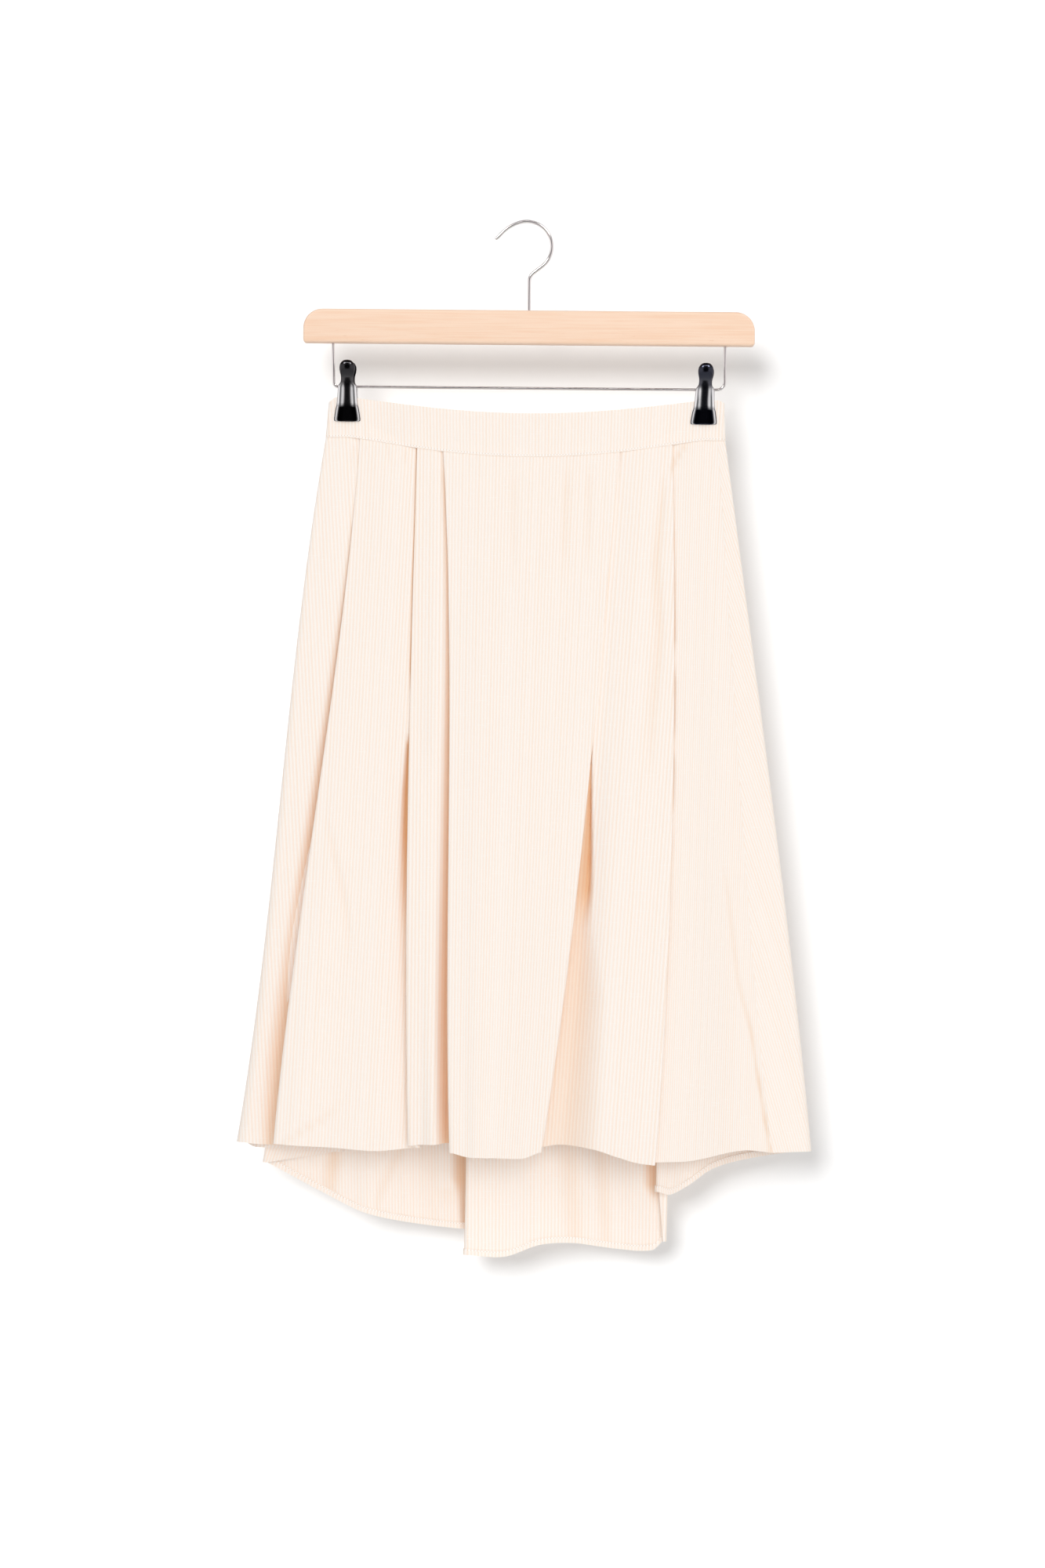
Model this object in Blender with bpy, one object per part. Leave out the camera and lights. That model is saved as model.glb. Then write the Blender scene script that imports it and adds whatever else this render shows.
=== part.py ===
"""A pleated skirt with a dipped back hem, hanging from a wooden clip hanger.

The skirt is a front panel, a back panel and a waistband in two halves. Each panel is one wall of
cloth lofted through sections from the waist seam to the hem, and every pleat in it is an S-fold of
three layers. The tables give sizes in millimetres. X runs to the right across the front, Y runs
away from the viewer and Z up, and a drop is a distance below the underside of the hook's top.
"""

import math
from collections import namedtuple

import bmesh
import bpy
from mathutils import Vector

MM = 0.001

# Cloth
SEAM_GAP = 0.3
WAIST_GAP = 0.4
CLOTH = 1.2
BAND_CLOTH = 2.2
BAND_TOP_DROP = 148.0
BAND_TOP_SAG = 13.0
SEAM_DROP = 182.0
SEAM_SAG = 15.5
SAG_REACH = 150.0
SAG_EASE = 1.2
CORNER_START = 160.0
CORNER_RUN = 6.0
CORNER_DROP = 4.0

# The clips pinch the waistband flat this far to each side, and let it open over this much more,
# down to this share of its height
JAW_REACH = 13.0
JAW_RELEASE = 45.0
JAW_BITE = 0.62

# Outline of the skirt, and the seam that shows on the right of the front: each gives X at HEIGHTS,
# the shares of the way from waist seam to hem
HEIGHTS = (0.0, 0.32, 0.65, 1.0)
LEFT_EDGE = (-168.8, -193.6, -212.8, -239.0)
RIGHT_EDGE = (166.0, 192.8, 219.4, 243.4)
RIGHT_SEAM = (160.0, 174.0, 189.0, 210.1)
BAND_LEFT_TOP = -166.4
BAND_RIGHT_TOP = 164.6

# Depth of the hollow: half the thickness at the side folds, and how far each panel bows out
SIDE_WAIST, SIDE_HEM = 1.4, 6.0
BOW_WAIST, BOW_HEM = 6.5, 14.0
LAYER_SPACING = (1.5, 2.2, 4.0, 5.4)

# Fineness of the cloth's mesh
ROWS = 15
SPAN = 17.0
FOLD_STEPS = 3
BAND_ROWS = 5
BAND_STEPS = 34

# A pleat's edge is the fold that shows, and it faces left or right. The cloth passes below it,
# turns at an inner fold `under` away, comes back to the edge and runs on above. Levels count
# layers outward from the panel's own surface, and the four hems are drops of the bottom edge.
Pleat = namedtuple(
    "Pleat",
    "name faces edge under_waist under_hem low_waist low_hem"
    " hem_below hem_inner hem_edge hem_above",
)
FRONT_PLEATS = (
    Pleat("left_outer", "left", (-140.3, -158.4, -184.1, -207.1), 13, 15, -1, 0, 777, 777, 775, 776),
    Pleat("left_inner", "left", (-92.1, -95.7, -97.3, -94.2), 9, 9, -1, 0, 778, 777, 775, 774),
    Pleat("centre_left", "left", (-70.3, -63.3, -62.7, -59.5), 6, 11, -1, 1, 773, 775, 780, 783),
    Pleat("centre_right", "right", (77.5, 61.7, 43.3, 16.7), 13, 13, -1, 1, 775, 777, 779, 784),
    Pleat("right_outer", "right", (121.7, 124.7, 122.5, 111.8), 13, 14, -1, 0, 788, 789, 790, 788),
)
BACK_PLEATS = (
    Pleat("back_left", "left", (-148, -172, -192, -217.8), 14, 67, -1, -1, 780, 784, 793.5, 829.5),
    Pleat("back_centre", "right", (-30, -26, -20, -15.7), 16, 31.5, -1, -1, 872, 871, 853, 850),
    Pleat("back_right", "right", (106, 114, 122, 123.5), 14, 9, -1, -1, 818, 816, 858.6, 866.5),
)

# A crest is a low wave along a panel, `after` the pleat named or the side fold. Its place is a
# share of the way to the next pleat.
Crest = namedtuple("Crest", "after place_waist place_hem level_waist level_hem hem")
FRONT_CRESTS = (
    Crest("side", 0.5, 0.5, 0.0, -0.3, 776.6),
    Crest("left_outer", 0.3, 0.3, 0.6, 1.2, 777.5),
    Crest("left_outer", 0.7, 0.72, 0.0, 0.9, 780.1),
    Crest("left_inner", 0.5, 0.5, 0.3, 2.3, 773.6),
    Crest("centre_left", 0.2, 0.2, 1.0, 3.2, 783.6),
    Crest("centre_left", 0.55, 0.5, 0.9, 2.5, 784.0),
    Crest("centre_right", 0.07, 0.19, -0.9, 0.4, 773.5),
    Crest("centre_right", 0.17, 0.54, -0.7, 2.3, 776.5),
    Crest("centre_right", 0.5, 0.8, 0.4, 2.0, 783.0),
    Crest("right_outer", 0.35, 0.3, -0.6, -0.4, 787.0),
    Crest("right_outer", 0.7, 0.74, -0.3, 0.7, 777.6),
)
BACK_CRESTS = (
    Crest("side", 0.5, 0.5, 0.0, -0.3, 779.0),
    Crest("back_left", 0.22, 0.22, 1.0, 0.4, 838.0),
    Crest("back_left", 0.6, 0.6, 0.9, 1.7, 846.0),
    Crest("back_centre", 0.22, 0.24, -0.5, -1.6, 861.3),
    Crest("back_centre", 0.45, 0.46, 0.0, -0.6, 860.3),
    Crest("back_centre", 0.74, 0.74, 0.6, 1.5, 865.8),
    Crest("back_right", 0.12, 0.12, -0.9, -1.2, 811.0),
    Crest("back_right", 0.32, 0.32, -0.6, -0.3, 796.0),
    Crest("back_right", 0.6, 0.6, -0.3, -0.4, 786.5),
)
SIDE_HEM_LEFT = 775.2
SIDE_HEM_RIGHT = 779.0
SEAM_HEM_RIGHT = 779.9

# Hanger
BAR_MIDDLE = 0.7
BAR_LENGTH = 379.6
BAR_HEIGHT = 28.2
BAR_DEPTH = 13.0
BAR_TOP_DROP = 74.1
BAR_SHOULDER = 16.0
BAR_FOOT = 2.5
BAR_EDGE = 1.6
HOOK_WIRE = 2.7
HOOK_RADIUS = 21.1
HOOK_MIDDLE = -1.8
HOOK_START, HOOK_END = 138.0, -50.0
HOOK_DEPTH = 18.0
RAIL_WIRE = 2.3
RAIL_HALF = 165.2
RAIL_DROP = 139.1
RAIL_CORNER = 5.0
RAIL_DEPTH = 10.0

# Clips: the pressed plate's half width and crown at each drop, and where each plate stands
PlateRow = namedtuple("PlateRow", "drop half_width crown")
PLATE = (
    PlateRow(117.1, 2.6, 1.2),
    PlateRow(118.4, 4.7, 2.6),
    PlateRow(120.8, 6.2, 3.7),
    PlateRow(123.7, 6.6, 4.1),
    PlateRow(127.0, 6.2, 3.7),
    PlateRow(130.6, 5.5, 2.8),
    PlateRow(135.8, 5.5, 2.4),
    PlateRow(138.6, 7.8, 2.6),
    PlateRow(147.0, 8.3, 2.6),
    PlateRow(154.6, 8.8, 2.4),
    PlateRow(157.0, 9.4, 1.9),
    PlateRow(166.6, 11.2, 1.7),
    PlateRow(168.8, 10.6, 1.4),
)
Plate = namedtuple("Plate", "name facing grip_x jaw_x")
PLATES = (
    Plate("clip_left_front", -1, -152.0, -151.6),
    Plate("clip_left_back", 1, -150.9, -151.6),
    Plate("clip_right_front", -1, 149.8, 148.1),
    Plate("clip_right_back", 1, 150.9, 148.1),
)
PLATE_EDGE = 0.8
JAW_INNER = 2.8
GRIP_SPREAD = 0.17
SPRING_LENGTH = 9.0
SPRING_WALL = 1.0
ROUND_SIDES = 16


def clear_scene():
    """Takes every object out of the file."""
    for old in list(bpy.data.objects):
        bpy.data.objects.remove(old, do_unlink=True)


def material(name, colour, roughness, metallic=0.0):
    """A Principled material of one colour."""
    made = bpy.data.materials.new(name)
    made.use_nodes = True
    shader = made.node_tree.nodes["Principled BSDF"]
    shader.inputs["Base Color"].default_value = (*colour, 1.0)
    shader.inputs["Roughness"].default_value = roughness
    shader.inputs["Metallic"].default_value = metallic
    return made


def mesh_object(name, shape, finish, sharp_angle=50.0):
    """Makes an object of a bmesh that is in millimetres, with faces pointing out."""
    bmesh.ops.recalc_face_normals(shape, faces=shape.faces)
    bmesh.ops.scale(shape, vec=(MM, MM, MM), verts=shape.verts)
    mesh = bpy.data.meshes.new(name)
    shape.to_mesh(mesh)
    shape.free()
    mesh.shade_smooth()
    mesh.set_sharp_from_angle(angle=math.radians(sharp_angle))
    mesh.materials.append(finish)
    made = bpy.data.objects.new(name, mesh)
    bpy.context.scene.collection.objects.link(made)
    return made


def mix(first, last, share):
    """The value a share of the way from first to last."""
    return first + (last - first) * share


def along(values, share):
    """The cubic through four values that are given at HEIGHTS."""
    total = 0.0
    for value, height in zip(values, HEIGHTS):
        weight = 1.0
        for other in HEIGHTS:
            if other != height:
                weight *= (share - other) / (height - other)
        total += value * weight
    return total


def sag(x):
    """1 at the middle of the waist and 0 from the clips outward."""
    return max(0.0, 1.0 - (x / SAG_REACH) ** 2) ** SAG_EASE


def seam_drop(x):
    """Drop of the waist seam, which hangs down between the clips."""
    return SEAM_DROP + SEAM_SAG * sag(x)


def band_top_drop(x):
    """Drop of the waistband's top edge, rounded off at the side folds."""
    corner = max(0.0, (abs(x) - CORNER_START) / CORNER_RUN)
    return BAND_TOP_DROP + BAND_TOP_SAG * sag(x) + CORNER_DROP * corner**2


def depth(x, share, level):
    """How far a layer of either panel lies from the middle plane."""
    left = along(LEFT_EDGE, share)
    right = along(RIGHT_EDGE, share)
    across = (2 * x - left - right) / (right - left)
    bow = mix(BOW_WAIST, BOW_HEM, share) * (1 - across**2)
    return mix(SIDE_WAIST, SIDE_HEM, share) + bow + level * along(LAYER_SPACING, share)


def key(x, share, level, hem, facing):
    """A point of a section: X, Y and the drop of the hem below it."""
    return Vector((x, facing * depth(x, share, level), hem))


def pleat_layers(pleat, share, facing):
    """The low, middle and top layers of a pleat as runs of key points, from left to right."""
    edge = along(pleat.edge, share)
    inward = 1 if pleat.faces == "left" else -1
    inner = edge + inward * mix(pleat.under_waist, pleat.under_hem, share)
    low = mix(pleat.low_waist, pleat.low_hem, share)
    turn = inward * along(LAYER_SPACING, share) / 2
    layers = [
        [
            key(edge - turn, share, low, pleat.hem_below, facing),
            key(inner - turn, share, low, pleat.hem_inner, facing),
        ],
        [
            key(inner - turn, share, low + 1, pleat.hem_inner, facing),
            key(edge + turn, share, low + 1, pleat.hem_edge, facing),
        ],
        [
            key(edge + turn, share, low + 2, pleat.hem_edge, facing),
            key(inner + turn, share, low + 2, pleat.hem_above, facing),
        ],
    ]
    if inward < 0:
        layers = [layer[::-1] for layer in layers[::-1]]
    return layers


def panel_runs(pleats, crests, first, last, share, facing):
    """A panel's section as runs of key points, with a fold between each run and the next."""
    runs = []
    run = [first]
    place = "side"
    for pleat in (*pleats, None):
        layers = pleat_layers(pleat, share, facing) if pleat else [[last]]
        start = run[-1].x
        stop = layers[0][0].x
        for crest in crests:
            if crest.after == place:
                x = mix(start, stop, mix(crest.place_waist, crest.place_hem, share))
                level = mix(crest.level_waist, crest.level_hem, share)
                run.append(key(x, share, level, crest.hem, facing))
        run.extend(layers[0])
        if pleat:
            runs.extend((run, layers[1]))
            run = layers[2]
            place = pleat.name
    return [*runs, run]


def span_steps(at_waist, at_hem):
    """How many steps each span of each run is drawn in, by its length where it is longest."""
    steps = []
    for upper, lower in zip(at_waist, at_hem):
        lengths = [
            max((b - a).xy.length, (d - c).xy.length)
            for a, b, c, d in zip(upper, upper[1:], lower, lower[1:])
        ]
        steps.append([max(1, round(length / SPAN)) for length in lengths])
    return steps


def smooth_run(run, steps):
    """Points on a smooth curve through a run, which leaves and arrives along X."""
    tangents = []
    for i, point in enumerate(run):
        before = run[max(i - 1, 0)]
        after = run[min(i + 1, len(run) - 1)]
        slope = (after - before) / max((after - before).xy.length, 1e-6)
        if i in (0, len(run) - 1):
            slope = Vector((math.copysign(1.0, after.x - before.x), 0.0, slope.z))
        tangents.append(slope)
    points = [run[0]]
    for i, count in enumerate(steps):
        a, b = run[i], run[i + 1]
        length = (b - a).xy.length
        for step in range(1, count + 1):
            t = step / count
            points.append(
                a * (2 * t**3 - 3 * t**2 + 1)
                + tangents[i] * length * (t**3 - 2 * t**2 + t)
                + b * (3 * t**2 - 2 * t**3)
                + tangents[i + 1] * length * (t**3 - t**2)
            )
    return points


def fold_points(start, end, outward):
    """The points between two layers that a fold joins, on a half circle bulging along X."""
    radius = abs(end.y - start.y) / 2
    points = []
    for step in range(1, FOLD_STEPS):
        angle = math.pi * step / FOLD_STEPS
        share = (1 - math.cos(angle)) / 2
        point = start.lerp(end, share)
        point.x = mix(start.x, end.x, share) + outward * radius * math.sin(angle)
        points.append(point)
    return points


def section_line(runs, steps):
    """One section of a panel, from its first run to its last, through every fold."""
    line = []
    for i, run in enumerate(runs):
        points = smooth_run(run, steps[i])
        line.extend(points)
        if i + 1 < len(runs):
            outward = math.copysign(1.0, run[-1].x - run[-2].x)
            line.extend(fold_points(points[-1], runs[i + 1][0], outward))
    return line


def side_turn(tip, reach, facing, hem):
    """The quarter turn of a side fold, from the middle plane towards the panel."""
    gap = SEAM_GAP / 2
    points = []
    for step in range(FOLD_STEPS):
        angle = math.pi / 2 * step / FOLD_STEPS
        x = tip + reach * (1 - math.cos(angle))
        y = facing * (gap + (abs(reach) - gap) * math.sin(angle))
        points.append(Vector((x, y, hem)))
    return points


def front_runs(share):
    """The front panel's runs: from the left side fold to the seam on the right."""
    start = along(LEFT_EDGE, share) + mix(SIDE_WAIST, SIDE_HEM, share)
    seam = along(RIGHT_SEAM, share) - SEAM_GAP / 2
    first = key(start, share, 0, SIDE_HEM_LEFT, -1)
    last = key(seam, share, 0, SEAM_HEM_RIGHT, -1)
    return panel_runs(FRONT_PLEATS, FRONT_CRESTS, first, last, share, -1)


def back_runs(share):
    """The back panel's runs: from the left side fold round the right one to the seam."""
    side = mix(SIDE_WAIST, SIDE_HEM, share)
    far = along(RIGHT_EDGE, share) - side
    seam = along(RIGHT_SEAM, share) + SEAM_GAP / 2
    first = key(along(LEFT_EDGE, share) + side, share, 0, SIDE_HEM_LEFT, 1)
    last = key(far, share, 0, SIDE_HEM_RIGHT, 1)
    wrapped = [
        key(far, share, 0, SIDE_HEM_RIGHT, -1),
        key(seam, share, 0, SEAM_HEM_RIGHT, -1),
    ]
    return [*panel_runs(BACK_PLEATS, BACK_CRESTS, first, last, share, 1), wrapped]


def wall(rows, thickness, first_way, last_way):
    """A closed wall round a grid of points, which are on its middle surface."""
    shape = bmesh.new()
    layers = []
    for side in (-0.5, 0.5):
        grid = []
        for row in rows:
            line = []
            for i, point in enumerate(row):
                before = row[max(i - 1, 0)]
                after = row[min(i + 1, len(row) - 1)]
                way = (after - before).xy.normalized()
                if i == 0:
                    way = Vector(first_way)
                if i == len(row) - 1:
                    way = Vector(last_way)
                offset = Vector((-way.y, way.x, 0.0)) * thickness * side
                line.append(shape.verts.new(point + offset))
            grid.append(line)
        layers.append(grid)
    count = len(rows[0])
    for grid in layers:
        for upper, lower in zip(grid, grid[1:]):
            for i in range(count - 1):
                shape.faces.new((upper[i], upper[i + 1], lower[i + 1], lower[i]))
    inner, outer = layers
    for row in (0, -1):
        for i in range(count - 1):
            shape.faces.new((inner[row][i], inner[row][i + 1], outer[row][i + 1], outer[row][i]))
    for column in (0, -1):
        for row in range(len(rows) - 1):
            shape.faces.new(
                (
                    inner[row][column],
                    inner[row + 1][column],
                    outer[row + 1][column],
                    outer[row][column],
                )
            )
    return shape


def panel_rows(runs_at, facing):
    """The panel's grid of points, from just below the waist seam to the hem."""
    steps = span_steps(runs_at(0.0), runs_at(1.0))
    lines = []
    for i in range(ROWS):
        share = i / (ROWS - 1)
        tip = along(LEFT_EDGE, share)
        turn = side_turn(tip, mix(SIDE_WAIST, SIDE_HEM, share), facing, SIDE_HEM_LEFT)
        lines.append(turn + section_line(runs_at(share), steps))
    rows = []
    for i, line in enumerate(lines):
        row = []
        for point, top, bottom in zip(line, lines[0], lines[-1]):
            drop = mix(seam_drop(top.x) + WAIST_GAP, bottom.z, i / (ROWS - 1))
            row.append(Vector((point.x, point.y, -drop)))
        rows.append(row)
    return rows


def band_depth(x, share):
    """Half depth of the waistband: pinched flat in the clips' jaws, open towards the seam."""
    jaw = min(PLATES, key=lambda plate: abs(plate.jaw_x - x)).jaw_x
    clear = min(1.0, max(0.0, abs(jaw) - abs(x) - JAW_REACH) / JAW_RELEASE)
    clear = clear * clear * (3 - 2 * clear)
    low = max(0.0, (share - JAW_BITE) / (1 - JAW_BITE))
    return mix(SIDE_WAIST, depth(x, 0.0, 0), max(clear, low))


def band_rows(facing):
    """The grid of one half of the waistband, from its top edge to the waist seam."""
    rows = []
    for i in range(BAND_ROWS):
        share = i / (BAND_ROWS - 1)
        left = mix(BAND_LEFT_TOP, LEFT_EDGE[0], share)
        right = mix(BAND_RIGHT_TOP, RIGHT_EDGE[0], share)
        line = side_turn(left, SIDE_WAIST, facing, 0)
        for step in range(BAND_STEPS + 1):
            x = mix(left + SIDE_WAIST, right - SIDE_WAIST, step / BAND_STEPS)
            line.append(Vector((x, facing * band_depth(x, share), 0)))
        line.extend(side_turn(right, -SIDE_WAIST, facing, 0)[::-1])
        for point in line:
            point.z = -mix(band_top_drop(point.x), seam_drop(point.x), share)
        rows.append(line)
    return rows


def cloth_pieces(cotton):
    """The four sewn pieces."""
    front = wall(panel_rows(front_runs, -1), CLOTH, (0, -1), (1, 0))
    mesh_object("skirt_front", front, cotton)
    back = wall(panel_rows(back_runs, 1), CLOTH, (0, 1), (-1, 0))
    mesh_object("skirt_back", back, cotton)
    for name, facing in (("waistband_front", -1), ("waistband_back", 1)):
        band = wall(band_rows(facing), BAND_CLOTH, (0, facing), (0, -facing))
        mesh_object(name, band, cotton)


def smooth_route(keys, steps):
    """Points on a smooth curve through the keys, ends kept."""
    ends = [2 * keys[0] - keys[1], *keys, 2 * keys[-1] - keys[-2]]
    points = [keys[0]]
    for a, b, c, d in zip(ends, ends[1:], ends[2:], ends[3:]):
        for step in range(1, steps + 1):
            t = step / steps
            points.append(
                0.5
                * (
                    2 * b
                    + (c - a) * t
                    + (2 * a - 5 * b + 4 * c - d) * t**2
                    + (3 * b - a - 3 * c + d) * t**3
                )
            )
    return points


def wire(name, route, thickness, finish):
    """A round wire along a route given as X and drop."""
    curve = bpy.data.curves.new(name, "CURVE")
    curve.dimensions = "3D"
    curve.bevel_depth = thickness / 2 * MM
    curve.bevel_resolution = 2
    curve.use_fill_caps = True
    spline = curve.splines.new("POLY")
    spline.points.add(len(route) - 1)
    for point, place in zip(spline.points, route):
        point.co = (place.x * MM, 0.0, -place.y * MM, 1.0)
    curve.materials.append(finish)
    made = bpy.data.objects.new(name, curve)
    bpy.context.scene.collection.objects.link(made)
    return made


def hook(steel):
    """The hook: a flared tip, a round bow and a shank that is pushed into the bar."""
    middle = Vector((HOOK_MIDDLE, HOOK_RADIUS - HOOK_WIRE / 2))
    keys = [Vector((-27.6, 13.2)), Vector((-24.0, 11.0)), Vector((-20.6, 7.6))]
    turns = 13
    for i in range(turns + 1):
        angle = math.radians(mix(HOOK_START, HOOK_END, i / turns))
        keys.append(middle + HOOK_RADIUS * Vector((math.cos(angle), -math.sin(angle))))
    keys.extend((Vector((6.2, 41.4)), Vector((2.2, 45.4)), Vector((0.6, 50.0))))
    shank_end = BAR_TOP_DROP + HOOK_DEPTH
    keys.extend((Vector((0.5, 56.0)), Vector((0.5, shank_end))))
    wire("hanger_hook", smooth_route(keys, 2), HOOK_WIRE, steel)


def rail(steel):
    """The wire rail below the bar, bent square at both ends, which carries the clips."""
    start = BAR_TOP_DROP + BAR_HEIGHT - RAIL_DEPTH
    corner_steps = 5
    right = []
    for i in range(corner_steps + 1):
        angle = math.pi / 2 * i / corner_steps
        x = RAIL_HALF - RAIL_CORNER * (1 - math.sin(angle))
        drop = RAIL_DROP - RAIL_CORNER * (1 - math.cos(angle))
        right.append(Vector((x, drop)))
    right.append(Vector((RAIL_HALF, start)))
    left = [Vector((-place.x, place.y)) for place in reversed(right)]
    route = [Vector((place.x + BAR_MIDDLE, place.y)) for place in left + right]
    wire("hanger_rail", route, RAIL_WIRE, steel)


def drilled_hole(name, x, top_drop, bottom_drop, wire_size):
    """A hidden round cutter, one clearance larger than the wire it takes."""
    shape = bmesh.new()
    radius = wire_size / 2 + SEAM_GAP
    bmesh.ops.create_cone(
        shape,
        cap_ends=True,
        segments=ROUND_SIDES,
        radius1=radius,
        radius2=radius,
        depth=bottom_drop - top_drop,
    )
    bmesh.ops.translate(shape, vec=(x, 0, -(top_drop + bottom_drop) / 2), verts=shape.verts)
    cutter = mesh_object(name, shape, bpy.data.materials["wood"])
    cutter.hide_render = True
    cutter.display_type = "WIRE"
    return cutter


def bar(wood):
    """The wooden bar, with rounded shoulders and holes for the hook and the rail."""
    half = BAR_LENGTH / 2
    top = -BAR_TOP_DROP
    bottom = top - BAR_HEIGHT
    corners = (
        (1, top, BAR_SHOULDER, 0, 8),
        (-1, top, BAR_SHOULDER, 90, 8),
        (-1, bottom, BAR_FOOT, 180, 3),
        (1, bottom, BAR_FOOT, 270, 3),
    )
    shape = bmesh.new()
    outline = []
    for side, height, radius, start, steps in corners:
        rise = radius if height == bottom else -radius
        for i in range(steps + 1):
            angle = math.radians(start + 90 * i / steps)
            x = BAR_MIDDLE + side * (half - radius) + radius * math.cos(angle)
            z = height + rise + radius * math.sin(angle)
            outline.append(shape.verts.new((x, -BAR_DEPTH / 2, z)))
    face = shape.faces.new(outline)
    pushed = bmesh.ops.extrude_face_region(shape, geom=[face])
    moved = [item for item in pushed["geom"] if isinstance(item, bmesh.types.BMVert)]
    bmesh.ops.translate(shape, vec=(0, BAR_DEPTH, 0), verts=moved)
    made = mesh_object("hanger_bar", shape, wood, 40.0)
    edge = made.modifiers.new("eased edges", "BEVEL")
    edge.width = BAR_EDGE * MM
    edge.segments = 3
    edge.limit_method = "ANGLE"
    edge.angle_limit = math.radians(60)
    foot = BAR_TOP_DROP + BAR_HEIGHT
    holes = [("hook_hole", 0.5, BAR_TOP_DROP - 2, BAR_TOP_DROP + HOOK_DEPTH + SEAM_GAP, HOOK_WIRE)]
    for name, side in (("rail_hole_left", -1), ("rail_hole_right", 1)):
        x = BAR_MIDDLE + side * RAIL_HALF
        holes.append((name, x, foot - RAIL_DEPTH - SEAM_GAP, foot + 2, RAIL_WIRE))
    for hole in holes:
        cut = made.modifiers.new(hole[0], "BOOLEAN")
        cut.operation = "DIFFERENCE"
        cut.solver = "EXACT"
        cut.object = drilled_hole(*hole)


def clip_plate(plate, steel):
    """One pressed plate of a clip: a domed finger grip, a waisted neck and a wide jaw."""
    shape = bmesh.new()
    sides = 7
    rings = []
    for row in PLATE:
        share = (row.drop - PLATE[0].drop) / (PLATE[-1].drop - PLATE[0].drop)
        middle = mix(plate.grip_x, plate.jaw_x, share)
        inner = JAW_INNER + GRIP_SPREAD * max(0.0, RAIL_DROP - row.drop)
        ring = []
        for i in range(sides + 1):
            angle = math.pi * i / sides
            x = middle + row.half_width * math.cos(angle)
            y = plate.facing * (inner + PLATE_EDGE + (row.crown - PLATE_EDGE) * math.sin(angle))
            ring.append(shape.verts.new((x, y, -row.drop)))
        for x in (middle - row.half_width, middle + row.half_width):
            ring.append(shape.verts.new((x, plate.facing * inner, -row.drop)))
        rings.append(ring)
    for upper, lower in zip(rings, rings[1:]):
        for i, start in enumerate(upper):
            after = (i + 1) % len(upper)
            shape.faces.new((start, upper[after], lower[after], lower[i]))
    shape.faces.new(rings[0])
    shape.faces.new(rings[-1])
    mesh_object(plate.name, shape, steel)


def spring(name, x, steel):
    """The short spring of a clip, as a sleeve round the rail between the two plates."""
    inner = RAIL_WIRE / 2 + SEAM_GAP
    outer = inner + SPRING_WALL
    shape = bmesh.new()
    rings = []
    for radius, end in ((outer, -1), (outer, 1), (inner, 1), (inner, -1)):
        ring = []
        for i in range(ROUND_SIDES):
            angle = math.tau * i / ROUND_SIDES
            y = radius * math.cos(angle)
            z = -RAIL_DROP + radius * math.sin(angle)
            ring.append(shape.verts.new((x + end * SPRING_LENGTH / 2, y, z)))
        rings.append(ring)
    for ring, other in zip(rings, rings[1:] + rings[:1]):
        for i in range(ROUND_SIDES):
            after = (i + 1) % ROUND_SIDES
            shape.faces.new((ring[i], ring[after], other[after], other[i]))
    mesh_object(name, shape, steel)


def build():
    """Makes the skirt and its hanger."""
    clear_scene()
    cotton = material("cotton", (0.96, 0.86, 0.74), 0.85)
    wood = material("wood", (0.92, 0.74, 0.56), 0.5)
    chrome = material("chrome", (0.78, 0.79, 0.82), 0.12, 1.0)
    cloth_pieces(cotton)
    bar(wood)
    hook(chrome)
    rail(chrome)
    for plate in PLATES:
        clip_plate(plate, chrome)
    for side, name in ((0, "clip_left_spring"), (2, "clip_right_spring")):
        spring(name, PLATES[side].jaw_x, chrome)


build()
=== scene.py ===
"""A striped cotton skirt with knife pleats and a dipped back hem, hung by its waistband from a clip hanger.

Piece sizes are in millimetres. X runs to the right across the front, Y away from the viewer and Z up, and a
drop is a distance below the underside of the hook's top, where the hanger rests on its rod.
"""

import math
from collections import namedtuple

import bpy
import numpy as np
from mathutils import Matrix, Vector


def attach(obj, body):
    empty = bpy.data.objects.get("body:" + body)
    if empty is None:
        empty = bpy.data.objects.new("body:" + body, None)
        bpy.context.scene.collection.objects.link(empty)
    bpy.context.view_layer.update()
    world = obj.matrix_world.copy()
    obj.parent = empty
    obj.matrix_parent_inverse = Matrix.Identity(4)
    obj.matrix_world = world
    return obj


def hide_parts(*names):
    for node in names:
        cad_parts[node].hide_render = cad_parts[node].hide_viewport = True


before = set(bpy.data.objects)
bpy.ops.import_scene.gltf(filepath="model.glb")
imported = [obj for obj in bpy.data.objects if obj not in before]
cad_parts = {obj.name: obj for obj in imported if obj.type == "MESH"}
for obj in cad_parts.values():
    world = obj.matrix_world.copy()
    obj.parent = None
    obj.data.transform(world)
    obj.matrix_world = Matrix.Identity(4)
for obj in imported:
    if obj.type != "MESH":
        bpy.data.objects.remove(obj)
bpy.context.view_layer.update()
bpy.ops.object.select_all(action="DESELECT")

MM = 0.001


# The camera looks straight at the front from across a studio, turned half a degree as the photograph is.
PHOTO_SCALE = 0.66
PHOTO_TALL = 2000
CAMERA_AWAY = 3000.0
CAMERA_X, CAMERA_DROP = -1.5, 472.2
CAMERA_ROLL = -0.5

camera_data = bpy.data.cameras.new("camera")
camera = bpy.data.objects.new("camera", camera_data)
bpy.context.scene.collection.objects.link(camera)
camera_data.sensor_width = 36.0
camera_data.lens = camera_data.sensor_width * CAMERA_AWAY / (PHOTO_TALL * PHOTO_SCALE)
camera.location = Vector((CAMERA_X, -CAMERA_AWAY, -CAMERA_DROP)) * MM
camera.rotation_euler = (math.radians(90), math.radians(CAMERA_ROLL), 0)
bpy.context.scene.camera = camera


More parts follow.
